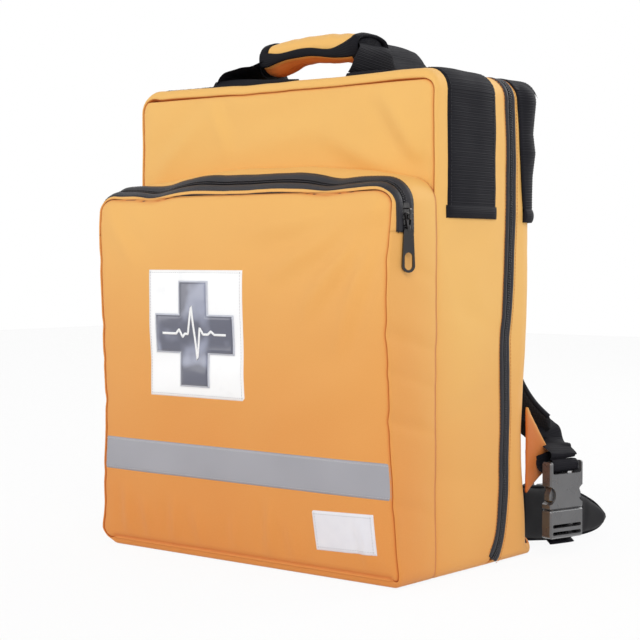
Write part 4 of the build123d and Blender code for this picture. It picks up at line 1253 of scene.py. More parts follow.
def smooth_path(points, step):
    """Even points on a smooth curve through the given ones."""
    points = np.array(points, dtype=float)
    padded = np.concatenate([2 * points[:1] - points[1:2], points, 2 * points[-1:] - points[-2:-1]])
    fine = []
    for before, start, end, after in zip(padded, padded[1:], padded[2:], padded[3:]):
        share = np.linspace(0, 1, 24, endpoint=False)[:, None]
        fine.append(0.5 * (
            2 * start + (end - before) * share + (2 * before - 5 * start + 4 * end - after) * share**2
            + (3 * start - before - 3 * end + after) * share**3
        ))
    fine = np.concatenate([*fine, points[-1:]])
    at = arcs(fine)
    places = np.linspace(0, at[-1], max(3, int(at[-1] / step) + 1))
    return np.stack([np.interp(places, at, fine[:, axis]) for axis in range(fine.shape[1])], 1)


def unit(vectors):
    return vectors / np.linalg.norm(vectors, axis=-1, keepdims=True)


def along_path(path, values):
    """Values given at even places along a path, at each of its points."""
    values = np.array(values, dtype=float)
    share = arcs(path) / arcs(path)[-1]
    places = np.linspace(0, 1, len(values))
    if values.ndim == 1:
        return np.interp(share, places, values)
    return np.stack([np.interp(share, places, values[:, axis]) for axis in range(values.shape[1])], 1)


WEBBING_T = 1.8 * mm


def ribs(along, height):
    """Height of the webbing's crosswise ribs, and how far each point is up a rib."""
    rise = 0.5 + 0.5 * np.cos(along * (2 * math.pi / trim().rib_pitch))
    return height * (rise**0.7 - 1), rise


def ribbon(name, path, across, width, look="black_webbing", thick=WEBBING_T, rib=0.3 * mm, rows=12):
    """A length of webbing along a path; across is the direction of its width, to the path's left."""
    ahead = unit(np.gradient(path, axis=0))
    across = np.broadcast_to(across, path.shape)
    across = unit(across - (across * ahead).sum(1, keepdims=True) * ahead)
    face = np.cross(ahead, across)
    place = np.sin(np.linspace(-1, 1, rows) * np.pi / 2)[:, None]
    edge = (1 - np.abs(place) ** 6)
    lift, rise = ribs(arcs(path), rib)
    outer_rise = (thick / 2 + lift) * edge
    half = place * np.broadcast_to(width, len(path)) / 2
    spine = path[None] + across[None] * half[..., None]
    wavy = unevenness(spine, 24 * mm, 21, 1.0)[..., None] * 0.5 * mm
    outer = spine + face * (outer_rise[..., None] + wavy)
    inner = spine - face * (outer_rise[..., None] - wavy)
    return cloth_sheet(name, outer, inner, (look, look), rib=np.repeat(rise[None], rows, 0))


# ---------------------------------------------------------------- zips
CHAIN_HALF = 2.6 * mm
TAPE_RISE = 1.5 * mm


def tape_rows(outer_edge, count=10):
    """Distances from the chain's line to a tape's edge, and the tape's height at each."""
    away = np.linspace(0.35 * mm, outer_edge, count)
    share = np.clip((away - CHAIN_HALF) / (outer_edge - CHAIN_HALF), 0, 1)
    rise = TAPE_RISE * np.sin(np.pi * share) ** 0.7 * (1.05 - 0.3 * share)
    return away, np.where(away < CHAIN_HALF, -0.5 * mm, rise - 0.25 * mm)


MAIN_ZIP = MAIN[MAIN[:, 1] > ZIP_END_Z]


def main_zip_skin(away, side, over):
    """Points beside the main zip's line, at distances from it and heights over the cloth."""
    placed = [zip_offset(MAIN_ZIP, side * each) for each in away]
    y, z = (np.stack([pair[axis] for pair in placed]) for axis in (0, 1))
    facing = facing_of(MAIN_ZIP, False)
    swell = main_swell(MAIN_ZIP, y) + np.asarray(over)[:, None]
    grid = skin(MAIN_ZIP, facing, y, swell)
    grid[..., 2] += z - MAIN_ZIP[:, 1]
    return grid


def pocket_zip_skin(points, away, side, over):
    """Points beside the pocket zip's line, at distances from it and heights over the cloth."""
    y = np.broadcast_to(POCKET_ZIP_Y + side * np.asarray(away)[:, None], (len(away), len(points)))
    return pocket_grid(points, y, np.asarray(over)[:, None])


def facing_rows(points, count):
    facing = facing_of(points, False)
    flat = np.stack([facing[:, 0], np.zeros(len(facing)), facing[:, 1]], 1)
    return np.repeat(flat[None], count, 0)


def zip_half(name, body, nodes, side, points, surface, outer_edge, lap=0.0):
    """One half of a zip: its tape in a smooth lobe, its teeth and the stitches beside it.

    A tape sewn on the cloth laps over it; one sewn under has its stitches beside it.
    """
    away, rise = tape_rows(outer_edge)
    rise = rise + lap * np.clip(away / CHAIN_HALF - 1, 0, 1)
    outer = surface(away, side, rise)
    inner = surface(away, side, np.full(len(away), -1.4 * mm))
    if side > 0:
        outer, inner = outer[::-1], inner[::-1]
    tape = cloth_sheet(name + "_tape", outer, inner, ("zip_tape", "zip_tape"))
    finished(tape, body, nodes)
    pitch = trim().tooth_pitch
    tooth = small_part(name + "_tooth", 0.62 * pitch, 2.5 * mm, 1.5 * mm)
    row = surface([1.35 * mm], side, [0.35 * mm])[0]
    facing = facing_rows(points, 1)[0]
    if side > 0:
        at = arcs(row)
        row = np.stack([np.interp(at + pitch / 2, at, row[:, axis]) for axis in range(3)], 1)
    teeth = repeat_along(name + "_teeth", [(row, facing)], tooth, pitch, "zip_coil")
    bpy.data.objects.remove(tooth)
    finished(teeth, body)
    at, over = (outer_edge - 1.8 * mm, lap + 0.6 * mm) if lap else (outer_edge + 1.6 * mm, 0.25 * mm)
    seam_row = surface([at], side, [over])[0]
    sewn(name + "_stitches", [(seam_row, facing)], "black_thread" if lap else "orange_thread", body)


POCKET_ZIP = POCKET[POCKET[:, 1] > POCKET_ZIP_Z + 0.5 * mm]


class BACKPACK_OT_zips(bpy.types.Operator):
    """Tapes, teeth and stitches of the main zip and the pocket's zip"""

    bl_idname = "backpack.zips"
    bl_label = "Zips"

    def execute(self, context):
        for side, name, body in ((-1, "main_zip_front", "lid"), (1, "main_zip_rear", "root")):
            zip_half(name, body, (name,), side, MAIN_ZIP, main_zip_skin, TAPE_HALF)
        reach = {-1: 12.4 * mm, 1: 11.6 * mm}
        for side, name, body in (
            (-1, "pocket_zip_front", "pocket_flap"), (1, "pocket_zip_rear", "lid"),
        ):
            def surface(away, way, over):
                return pocket_zip_skin(POCKET_ZIP, away, way, over)

            zip_half(name, body, (name,), side, POCKET_ZIP, surface, reach[side], 0.8 * mm)
        for name in ("pocket_slider", "main_slider_right", "main_slider_left",
                     "pocket_pull", "main_pull_right", "main_pull_left"):
            dress(name, "zip_metal")
        self.hinge_strip()
        return {"FINISHED"}

    def hinge_strip(self):
        """The strip of nylon that the lid turns on, across the base between the zip's ends."""
        line = zip_line(0.0)
        x = np.linspace(-BAG_X + BASE_R, BAG_X - BASE_R, 90)
        y = line + np.linspace(7 * mm, -7 * mm, 9)
        outer = np.stack(np.broadcast_arrays(-x[None], y[:, None], 0.1 * mm), 2)
        inner = outer + (0, 0, 1.0 * mm)
        strip = cloth_sheet("hinge_strip", outer[:, ::-1], inner[:, ::-1], ("orange_nylon", "lining"))
        bending(strip, ("root", "lid"), (0, line + 7 * mm, 0), (0, line - 7 * mm, 0), "orange_nylon")


def dress(node, look):
    """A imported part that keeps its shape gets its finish."""
    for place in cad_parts[node].material_slots:
        place.material = finish(look)


# ---------------------------------------------------------------- wide webbing on the corners
BAND_Y = (low("front_band_right").y + 2 * mm, high("front_band_right").y - 2 * mm)
BAND_HEM_Z = low("front_band_right").z
HEM_TOP = BAND_HEM_Z + 11 * mm
FOOT_RIGHT, FOOT_LEFT = low("front_band_right").x, high("front_band_left").x
REAR_FOOT = low("rear_band_right").x
BAND_OVER = 1.5 * mm


def band_sheet(name, points, y, over, hem=False):
    """Webbing laid on the main compartment along part of its outline, at depths y (rows)."""
    facing = facing_of(points, False)
    rows = len(y)
    share = np.linspace(-1, 1, rows)[:, None]
    swell = main_swell(points, np.broadcast_to(y, (rows, len(points))))
    along = arcs(points)
    lift, rise = ribs(along, 0.0 if hem else 0.4 * mm)
    if hem:
        round_off = np.sin(np.pi * np.clip(along / along[-1], 0.04, 0.96)) ** 0.4
        over = over * round_off
    edge = 1 - 0.8 * np.abs(share) ** 10
    waves = 0.35 * mm * unevenness(skin(points, facing, y, 0.0), 22 * mm, 31, 1.0)
    outer = skin(points, facing, y, swell + (over + lift) * edge + waves)
    inner = skin(points, facing, y, swell - 0.6 * mm)
    made = cloth_sheet(
        name, outer, inner, ("black_webbing", "black_webbing"), rib=np.broadcast_to(rise, outer.shape[:2])
    )
    return made, outer


REAR_TOP_Y, REAR_HEM_Y, REAR_INNER_X = 75 * mm, 88 * mm, 130 * mm
REAR_BULGE = ((318, 3.0), (345, 3.0), (362, 3.4), (384, 6.0), (402, 3.6), (425, 5.6), (442, 7.0), (450, 6.0))


def rear_band_grid(z, over, rows=22):
    """Points of the rear webbing round the rear upright edge, at heights z (columns)."""
    front = REAR_TOP_Y + (REAR_HEM_Y - REAR_TOP_Y) * np.clip((BAG_H - z) / (BAG_H - HEM_TOP), 0, 1)
    inset = np.clip(z - (BAG_H - TOP_R), 0, TOP_R)
    inset = TOP_R - np.sqrt(TOP_R**2 - inset**2)
    corner = REAR_Y - REAR_R
    arc = REAR_R * np.pi / 2
    side, back = corner - front, BAG_X - REAR_R - REAR_INNER_X
    at = np.linspace(0, 1, rows)[:, None] * (side + arc + back)
    grid = np.empty((rows, len(z), 3))
    turn = np.clip((at - side) / REAR_R, 0, np.pi / 2)
    bulge = np.interp(z, *(np.array(column) * mm for column in zip(*REAR_BULGE)))
    past = np.clip((at - side * 0.2) / (side * 0.8 + arc * 1.15), 0, 1)
    out = over + bulge * np.sin(np.pi * past) ** 1.3
    normal_x, normal_y = np.cos(turn), np.sin(turn)
    grid[..., 0] = BAG_X - REAR_R + REAR_R * normal_x - np.clip(at - side - arc, 0, None)
    grid[..., 0] += normal_x * (out - inset)
    grid[..., 1] = front + np.minimum(at, side) + REAR_R * normal_y + normal_y * (out - 0.45 * inset)
    grid[..., 2] = z
    return grid[::-1]


def twin(grid):
    """The mirror image of a grid on the other side, still facing outwards."""
    return (grid * (-1, 1, 1))[:, ::-1]


class BACKPACK_OT_bands(bpy.types.Operator):
    """Wide ribbed webbing on the upper corners, with its hems and stitches"""

    bl_idname = "backpack.bands"
    bl_label = "Corner webbing"

    def execute(self, context):
        y = np.linspace(BAND_Y[1], BAND_Y[0], 20)[:, None]
        hem_y = np.linspace(BAND_Y[1] + 2 * mm, BAND_Y[0] - 2 * mm, 20)[:, None]
        lid = {
            "right": ((BAG_X, HEM_TOP - 2 * mm), (FOOT_RIGHT, BAG_H), (BAG_X, BAND_HEM_Z), (BAG_X, HEM_TOP)),
            "left": ((FOOT_LEFT + 62 * mm, BAG_H), (-BAG_X, HEM_TOP - 2 * mm), (-BAG_X, HEM_TOP), (-BAG_X, BAND_HEM_Z)),
        }
        for side, (start, end, hem_start, hem_end) in lid.items():
            points = stretch(MAIN, start, end, 0.62 * mm)
            band, outer = band_sheet(f"front_band_{side}_web", points, y, BAND_OVER)
            finished(band, "lid", (f"front_band_{side}",))
            hem, _ = band_sheet(
                f"front_band_{side}_hem", stretch(MAIN, hem_start, hem_end, 0.8 * mm), hem_y, 3.2 * mm, True
            )
            finished(hem, "lid")
            facing = facing_rows(points, len(outer))
            rows = [on_grid(outer, facing, row=row, lift=0.1 * mm) for row in (1, -2)]
            sewn(f"front_band_{side}_stitches", rows, "black_thread", "lid")
        self.rear_bands()
        return {"FINISHED"}

    def rear_bands(self):
        z = np.arange(BAND_HEM_Z + 8 * mm, BAG_H - 0.1 * mm, 0.62 * mm)
        lift, rise = ribs(z, 0.4 * mm)
        outer = rear_band_grid(z, 1.8 * mm + lift)
        inner = rear_band_grid(z, 0.2 * mm + lift)
        hem_z = np.linspace(BAND_HEM_Z - 2 * mm, BAND_HEM_Z + 11 * mm, 18)
        round_off = np.sin(np.pi * np.linspace(0.05, 0.95, 18)) ** 0.5
        hem_outer, hem_inner = rear_band_grid(hem_z, 3.4 * mm * round_off), rear_band_grid(hem_z, -0.4 * mm)
        top = stretch(MAIN, (BAG_X - 4 * mm, BAG_H - 10 * mm), (REAR_FOOT, BAG_H), 0.62 * mm)
        top_y = np.linspace(REAR_Y - 3 * mm, REAR_TOP_Y, 12)[:, None]
        facing = facing_of(top, False)
        lift, top_rise = ribs(arcs(top), 0.4 * mm)
        top_outer = skin(top, facing, top_y, main_swell(top, top_y + 0 * top[:, 0]) + BAND_OVER + lift)
        top_outer[0, :, 2] -= 6 * mm
        top_outer[0, :, 1] += 2 * mm
        top_inner = skin(top, facing, top_y, main_swell(top, top_y + 0 * top[:, 0]) - 0.4 * mm)
        parts = (
            ("web", outer, inner, rise), ("hem", hem_outer, hem_inner, np.ones(len(hem_z))),
            ("top", top_outer, top_inner, top_rise),
        )
        for side, turn in (("right", lambda grid: grid), ("left", twin)):
            for part, over, under, rib in parts:
                rib = np.broadcast_to(rib if side == "right" else rib[::-1], over.shape[:2])
                made = cloth_sheet(
                    f"rear_band_{side}_{part}", turn(over), turn(under), ("black_webbing",) * 2, rib=rib
                )
                nodes = (f"rear_band_{side}",) if part == "web" else ()
                finished(made, "root", nodes)


# ---------------------------------------------------------------- what is sewn on the pocket
def pocket_patch(name, x, z, rise, look, nodes=(), keep=None, edged=True):
    """A flat piece sewn on the pocket's front, over a grid of x and z."""
    face = pocket_face(x, z)
    edge = 1.0
    if edged:
        share_x = np.linspace(-1, 1, x.shape[1])[None]
        share_z = np.linspace(-1, 1, x.shape[0])[:, None]
        edge = (1 - np.abs(share_x) ** 40) * (1 - np.abs(share_z) ** 40)
    outer = np.stack([x, face - rise * edge, z], 2)
    inner = np.stack([x, face + 0.8 * mm, z], 2)
    made = cloth_sheet(name, outer, inner, (look, look), keep=keep)
    return finished(made, "lid", nodes), outer


def patch_grid(centre, size, tilt=0.0, step=2.5 * mm):
    """x and z over a rectangle on the pocket's front."""
    wide, tall = size
    x, z = np.meshgrid(
        np.linspace(-wide / 2, wide / 2, int(wide / step) + 1),
        np.linspace(-tall / 2, tall / 2, int(tall / step) + 1),
    )
    turn = math.radians(tilt)
    return (
        centre[0] + x * math.cos(turn) - z * math.sin(turn),
        centre[1] + x * math.sin(turn) + z * math.cos(turn),
    )


def box_of(node):
    """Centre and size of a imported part, seen from the front."""
    small, large = low(node), high(node)
    return ((small.x + large.x) / 2, (small.z + large.z) / 2), (large.x - small.x, large.z - small.z)


def frame_paths(outer, inset, lift=0.15 * mm):
    """Paths round a patch, a few cells in from its edges."""
    facing = np.broadcast_to(np.array([0.0, -1.0, 0.0]), outer.shape)
    last = outer.shape[1] - inset
    rows = (inset, -1 - inset)
    paths = [on_grid(outer, facing, row=row, start=inset, end=last, lift=lift) for row in rows]
    last = outer.shape[0] - inset
    paths += [on_grid(outer, facing, column=column, start=inset, end=last, lift=lift) for column in rows]
    return paths


class BACKPACK_OT_trims(bpy.types.Operator):
    """Reflective band, badge with its emblem, and the bare label"""

    bl_idname = "backpack.trims"
    bl_label = "Band, badge and label"

    def execute(self, context):
        centre, size = box_of("reflective_band")
        x, z = patch_grid(centre, size, step=2 * mm)
        start, end = (np.interp(z, side[:, 1], side[:, 0]) for side in sides_of(pocket_skins()[-1]))
        share = (x - x.min()) / (x.max() - x.min())
        x = start * (1 - share) + end * share + 1.2 * mm * (1 - 2 * share)
        _, outer = pocket_patch("reflective_tape", x, z, 0.5 * mm, "reflective_tape", ("reflective_band",))
        facing = np.broadcast_to(np.array([0.0, -1.0, 0.0]), outer.shape)
        rows = [on_grid(outer, facing, row=row, start=1, end=-1, lift=0.15 * mm) for row in (1, -2)]
        sewn("reflective_stitches", rows, "pale_thread", "lid", size=0.8)

        centre, size = box_of("badge_patch")
        x, z = patch_grid(centre, size)
        _, outer = pocket_patch("badge_vinyl", x, z, 0.9 * mm, "badge_white", ("badge_patch",))
        sewn("badge_stitches", frame_paths(outer, 1), "pale_thread", "lid", size=0.8)
        self.emblem(centre)

        centre, _ = box_of("label")
        x, z = patch_grid(centre, LABEL_SIZE, LABEL_TILT, 1.5 * mm)
        _, outer = pocket_patch("label_cloth", x, z, 0.8 * mm, "label_white", ("label",))
        sewn("label_stitches", frame_paths(outer, 2), "pale_thread", "lid", size=0.75)
        return {"FINISHED"}

    def emblem(self, centre):
        """An equal-armed cross with a pale outline, and a pulse line over it."""
        _, (wide, _) = box_of("badge_emblem")
        for name, grow, rise, look, nodes in (
            ("emblem_outline", 1.4 * mm, 1.9 * mm, "emblem_edge", ()),
            ("emblem_cross", 0.0, 2.1 * mm, "emblem_slate", ("badge_emblem",)),
        ):
            reach, arm = wide / 2 + grow, EMBLEM_ARM / 2 + grow
            outside, inside = np.linspace(arm, reach, 11), np.linspace(-arm, arm, 12)
            line = np.concatenate([-outside[::-1], inside[1:-1], outside])
            x, z = np.meshgrid(line, line)
            middle = np.abs((line[1:] + line[:-1]) / 2) < arm
            keep = middle[None] | middle[:, None]
            pocket_patch(name, centre[0] + x, centre[1] + z, rise, look, nodes, keep, False)
        beat = np.array(PULSE) * mm
        share = np.linspace(0, len(beat) - 1, 12 * len(beat))
        line = np.stack([np.interp(share, np.arange(len(beat)), beat[:, axis]) for axis in (0, 1)], 1)
        side = -facing_of(line, False) * 1.1 * mm
        x = centre[0] + np.stack([line[:, 0] - side[:, 0], line[:, 0] + side[:, 0]])
        z = centre[1] + np.stack([line[:, 1] - side[:, 1], line[:, 1] + side[:, 1]])
        pocket_patch("emblem_pulse", x, z, 2.4 * mm, "badge_white", edged=False)


EMBLEM_ARM = 34 * mm
LABEL_SIZE, LABEL_TILT = (68 * mm, 36 * mm), 2.0
PULSE = (
    (-40, 0), (-22, 0), (-18, 4), (-14, -3), (-11, 0), (-7, 0), (-2, 26), (4, -24), (8, 6), (12, 0),
    (18, 0), (22, 3), (26, 0), (40, 0),
)


# ---------------------------------------------------------------- handles
GRIP_LOW, GRIP_HIGH = low("grip_wrap"), high("grip_wrap")
GRIP_ENDS = (low("grip_binding").x - 8 * mm, high("grip_binding").x)
GRIP_WIDE = GRIP_HIGH.y - GRIP_LOW.y
GRIP_Y = (GRIP_HIGH.y + GRIP_LOW.y) / 2 + 2 * mm
HANDLE_FOOT_Z = 452 * mm
HANDLE_FREE_Z = 475 * mm
# Places along the grip, in mm: its top, its lowest line, and the upper and lower edge of its binding.
GRIP_TOP = ((-56, -46, -27, 0, 26, 48, 60, 68), (491, 494, 496.5, 498, 498, 497, 495, 493))
GRIP_BASE = ((-56, -50, -44, -36, -28, -16, 0, 30, 50, 68), (467, 463, 461.5, 462.5, 466, 470.5, 472, 470.5, 469, 471))
BINDING_TOP = ((-58, -44, -30, -16, -5, 10, 28, 36, 53, 60, 68), (485, 484, 482, 483.5, 485, 485, 482, 481.5, 487, 491, 494))
BINDING_BASE = ((-58, -46, -34, -20, 10, 28, 36, 53, 68), (472, 469, 472.5, 475.5, 477, 474.5, 473, 472, 473))


def level_at(x, places):
    """A height along the grip, eased between the given places."""
    at, heights = np.array(places) * mm
    return sum(np.interp(x + shift * mm, at, heights) for shift in (-5, -2.5, 0, 2.5, 5)) / 5


def grip_grid(x, wide, grow=0.0, columns=48):
    """Sections of the grip at x: a soft flattened loop, wide along Y."""
    top, base = level_at(x, GRIP_TOP) + grow, level_at(x, GRIP_BASE) - grow
    turn = np.linspace(0, 2 * np.pi, columns, endpoint=False)
    cos, sin = np.cos(turn), np.sin(turn)
    loop_y = np.sign(cos) * np.abs(cos) ** 0.8
    loop_z = np.sign(sin) * np.abs(sin) ** 0.78
    lower = np.clip(-loop_z, 0, 1)
    loop_y = loop_y * (1 - 0.42 * lower) - 0.36 * lower
    grid = np.empty((len(x), columns, 3))
    grid[..., 0] = x[:, None]
    grid[..., 1] = GRIP_Y + np.asarray(wide)[..., None] / 2 * loop_y
    grid[..., 2] = ((top + base) / 2)[:, None] + ((top - base) / 2)[:, None] * loop_z
    return grid


def webbing_path(points, step=0.62 * mm):
    return smooth_path(np.array(points) * mm, step)


class BACKPACK_OT_handles(bpy.types.Operator):
    """The wrapped front carrying handle and the plain rear one"""

    bl_idname = "backpack.handles"
    bl_label = "Handles"

    def execute(self, context):
        self.wrap()
        self.bindings()
        y = GRIP_Y / mm
        path = webbing_path([
            (-93, -3, 452), (-91, -3, 458), (-85, -3, 464), (-74, -1, 467.5), (-62, y, 470), (-48, y, 476),
            (-22, y, 483), (12, y, 486), (44, y, 485), (60, y, 484), (68, y * 0.8, 483.5), (73, y * 0.4, 479),
            (74, 0, 471), (72.5, -1, 461), (69, -2, 452),
        ])
        width = along_path(path, [76, 76, 74, 62, 48, 40, 38, 38, 38, 38, 38, 39, 45, 67, 74]) * mm
        web = ribbon("front_handle_web", path, (0, 1, 0), width, rows=16)
        nodes = ("grip_webbing", "front_handle_leg_right", "front_handle_leg_left")
        bending(web, ("lid", "front_handle"), (0, 0, HANDLE_FOOT_Z), (0, 0, HANDLE_FREE_Z), "black_webbing", nodes)

        small, large = low("rear_handle_leg_right"), high("rear_handle_leg_right")
        foot = (small.y + large.y) / 2 / mm
        path = webbing_path([
            (99, foot - 2, 452.5), (88, foot - 6, 453.5), (73, foot - 14, 456), (63, foot - 18, 464),
            (56, foot - 20, 474), (50, foot - 20, 483), (42, foot - 21, 490), (26, foot - 22, 496), (0, foot - 23, 497.5),
            (-30, foot - 27, 496.5), (-60, foot - 33, 493.5), (-88, foot - 35, 489), (-104, foot - 31, 481),
            (-111, foot - 21, 470), (-110, foot - 9, 460), (-104, foot, 452.5),
        ])[::-1]
        flare = along_path(path, [35, 35, 35, 35, 35, 35, 35, 35, 38, 45, 53, 60, 66, 64, 54, 42]) * mm
        web = ribbon("rear_handle_web", path, (0, 1, 0), flare)
        nodes = ("rear_handle", "rear_handle_leg_right", "rear_handle_leg_left")
        bending(web, ("root", "rear_handle"), (0, 0, HANDLE_FOOT_Z), (0, 0, HANDLE_FREE_Z), "black_webbing", nodes)
        self.feet()
        return {"FINISHED"}

    def feet(self):
        """The webbing's ends, sewn flat on the bag's top, where they show in front of the handle."""
        for name, line, width in (
            ("left", [(12, -40, 452), (-12, -41, 452.6), (-40, -42, 453), (-70, -41, 454.5), (-96, -40, 454)],
             (2.5, 5, 8, 10, 10)),
            ("right", [(126, -41, 451), (112, -41, 452.6), (92, -41, 452.8), (70, -40, 452.6)], (3, 4, 4.5, 4.5)),
        ):
            path = webbing_path(line)
            web = ribbon(f"handle_foot_{name}", path, (0, -0.55, -0.83), along_path(path, width) * mm, thick=2.2 * mm)
            finished(web, "lid")

    def wrap(self):
        """The padded nylon wrap, closed round the webbing, with soft tucks along it."""
        x = np.linspace(GRIP_ENDS[0] + 4 * mm, GRIP_ENDS[1] - 7 * mm, 80)
        wide = np.full(len(x), GRIP_WIDE - 2 * mm)
        outer = grip_grid(x, wide)
        facing = normals(outer, True)
        soft = unevenness(outer, 20 * mm, 41) + 0.4 * unevenness(outer, 8 * mm, 42)
        outer = outer + facing * (0.8 * mm * soft)[..., None]
        inner = outer - normals(outer, True) * 3 * mm
        # Painted shade: below the binding's edge the wrap's underside gets a seam value that darkens its nylon; its
        # front also moves back a little.
        edge = level_at(x, BINDING_BASE)[:, None]
        under = ease((edge + 1.5 * mm - outer[..., 2]) / (3 * mm))
        in_front = outer[..., 1] < GRIP_Y
        outer[..., 1] += under * in_front * 2.2 * mm
        cover = cloth_sheet("grip_cover", outer, inner, ("orange_nylon", "lining"), wrap=True, seam=under)
        finished(cover, "front_handle", ("grip_wrap",))

    def bindings(self):
        """Black tape that binds the wrap's two ends and its front lower edge."""
        for side, end, inward, reach in (("left", GRIP_ENDS[0], 1, 12), ("right", GRIP_ENDS[1], -1, 10)):
            share = np.linspace(0, 1, 13)[::inward]
            x = end + inward * share * reach * mm
            bulge = 0.8 * mm + 1.4 * mm * np.sin(np.pi * share) ** 0.5
            shut = np.interp(share, (0, 0.25, 1), (-2.5, 0, 0)) * mm * (inward > 0)
            outer = grip_grid(x, GRIP_WIDE - 3 * mm + 2 * (bulge + shut), bulge + shut)
            facing = normals(outer, True)
            outer = outer + facing * (0.6 * mm * unevenness(outer, 12 * mm, 43))[..., None]
            inner = outer - normals(outer, True) * (3.2 if inward > 0 else 6.0) * mm
            if inward > 0:
                near_base = 0.85 * ease((475 * mm - outer[..., 2]) / (7 * mm))
                shift = (x[:, None] - end) * near_base
                outer[..., 0] -= shift
                inner[..., 0] -= shift
            ring = cloth_sheet(f"grip_binding_{side}", outer, inner, ("black_webbing",) * 2, wrap=True)
            finished(ring, "front_handle", ("grip_binding",) if side == "left" else ())
        x = np.linspace(GRIP_ENDS[0] + 3 * mm, GRIP_ENDS[1] - 3 * mm, 90)
        upper, lower = level_at(x, BINDING_TOP), level_at(x, BINDING_BASE)
        front = np.full(len(x), GRIP_Y - GRIP_WIDE / 2 + 0.6 * mm)
        front += 5 * mm * np.clip((upper - 489 * mm) / (6 * mm), 0, 1) ** 2
        path = np.stack([x, front, (upper + lower) / 2], 1)
        turn = np.linspace(0, 2 * np.pi, 16, endpoint=False)
        section = np.stack([0 * turn, 2.0 * mm * np.cos(turn), np.sin(turn)], 1)
        size = np.stack([1 + 0 * x, 1 + 0 * x, (upper - lower) / 2], 1)
        edge = tube("grip_edge_binding", path[:, None] + section[None] * size[:, None], "black_webbing")
        finished(edge, "front_handle")
        lump = np.linspace(0, np.pi, 9)
        x = GRIP_ENDS[1] - 6 * mm - 4 * mm * np.cos(lump)
        core = grip_grid(x, (GRIP_WIDE - 7 * mm) * (0.3 + 0.7 * np.sin(lump) ** 0.5), -2.4 * mm)
        finished(tube("grip_core", core, "black_webbing"), "front_handle")


# ---------------------------------------------------------------- pads
def puffed(name, mesh, look, cap, voxel=5 * mm):
    """A pad swollen by air pressure inside its cloth, from a slightly smaller shape."""
    scene = bpy.context.scene
    pad = bpy.data.objects.new(name, mesh)
    scene.collection.objects.link(pad)
    for other in bpy.context.selected_objects:
        other.select_set(False)
    bpy.context.view_layer.objects.active = pad
    pad.select_set(True)
    remesh = pad.modifiers.new("even", "REMESH")
    remesh.mode, remesh.voxel_size = "VOXEL", voxel
    bpy.ops.object.modifier_apply(modifier=remesh.name)
    start = vertices_of(pad)
    sewn_air = pad.modifiers.new("air", "CLOTH")
    sewn_air.settings.use_pressure = True
    sewn_air.settings.uniform_pressure_force = 4.0
    sewn_air.settings.effector_weights.gravity = 0.0
    sewn_air.settings.quality = 5
    for step in range(1, 21):
        scene.frame_set(step)
    bpy.ops.object.modifier_apply(modifier=sewn_air.name)
    scene.frame_set(1)
    move = vertices_of(pad) - start
    size = np.linalg.norm(move, axis=1, keepdims=True)
    place(pad, start + move * np.minimum(1, cap / np.maximum(size, 1e-9)))
    smooth = pad.modifiers.new("round", "SUBSURF")
    smooth.levels = smooth.render_levels = 1
    bpy.ops.object.modifier_apply(modifier=smooth.name)
    pad.data.materials.clear()
    pad.data.materials.append(finish(look))
    pad.data.polygons.foreach_set("use_smooth", [True] * len(pad.data.polygons))
    return pad


def vertices_of(piece):
    points = np.empty(len(piece.data.vertices) * 3)
    piece.data.vertices.foreach_get("co", points)
    return points.reshape(-1, 3)


def place(piece, points):
    piece.data.vertices.foreach_set("co", np.asarray(points, dtype=np.float32).ravel())
    piece.data.update()


def pad_mesh(name, outline_xz, y_near, y_far, steps=3):
    """A flat slab with a given outline seen from behind, for puffing."""
    count = len(outline_xz)
    layers = np.linspace(y_near, y_far, steps)
    points = [(x, y, z) for y in layers for x, z in outline_xz]
    faces = [
        (row * count + at, row * count + (at + 1) % count,
         (row + 1) * count + (at + 1) % count, (row + 1) * count + at)
        for row in range(steps - 1) for at in range(count)
    ]
    faces += [tuple(range(count))[::-1], tuple(range((steps - 1) * count, steps * count))]
    mesh = bpy.data.meshes.new(name)
    mesh.from_pydata(points, [], faces)
    return mesh


def flat_uv(piece, scale=(0, 2)):
    """A map read straight off two of the piece's axes, for a pad that lies flat."""
    mesh = piece.data
    points = vertices_of(piece)
    corners = np.empty(len(mesh.loops), dtype=np.int64)
    mesh.loops.foreach_get("vertex_index", corners)
    layer = mesh.uv_layers.new(name="cloth")
    layer.data.foreach_set("uv", points[corners][:, list(scale)].astype(np.float32).ravel())


def cushion(name, node, corner, channels, margin, look="black_mesh"):
    """A back cushion with sewn channels across it and a bound edge."""
    small, large = low(node), high(node)
    half = (large.x - small.x) / 2 - margin
    edge = outline(half, small.z + margin, large.z - margin, corner, corner)[::3]
    pad = puffed(name, pad_mesh(name, edge, small.y + 1.2 * mm, large.y - 3.4 * mm), look, 7 * mm)
    points = vertices_of(pad)
    away, _ = near_edge(points[:, None, 0], points[:, None, 2], edge)
    outer = points[:, 1] > small.y + 5 * mm
    for level in channels:
        dip = np.exp(-(((points[:, 2] - level) / (2.2 * mm)) ** 2))
        points[:, 1] -= dip * outer * 4.5 * mm
    hem = np.exp(-((away[:, 0] - 7 * mm) / (1.6 * mm)) ** 2)
    points[:, 1] -= hem * outer * 2.2 * mm
    points[:, 1] = np.clip(points[:, 1], small.y + 0.2 * mm, large.y + 3 * mm)
    place(pad, points)
    flat_uv(pad)
    finished(pad, "root", (node,))
    turn = np.linspace(0, 2 * np.pi, 10, endpoint=False)
    facing = facing_of(edge)
    ring = np.stack([edge[:, 0], np.full(len(edge), small.y + 4.2 * mm), edge[:, 1]], 1)
    out = np.stack([facing[:, 0], 0 * facing[:, 0], facing[:, 1]], 1)
    radius = 2.4 * mm
    grid = ring[:, None] + out[:, None] * (radius * np.cos(turn))[None, :, None]
    grid[..., 1] += 1.5 * radius * np.sin(turn)
    grid = np.concatenate([grid, grid[:1]])
    finished(tube(name + "_binding", grid, "black_webbing"), "root")


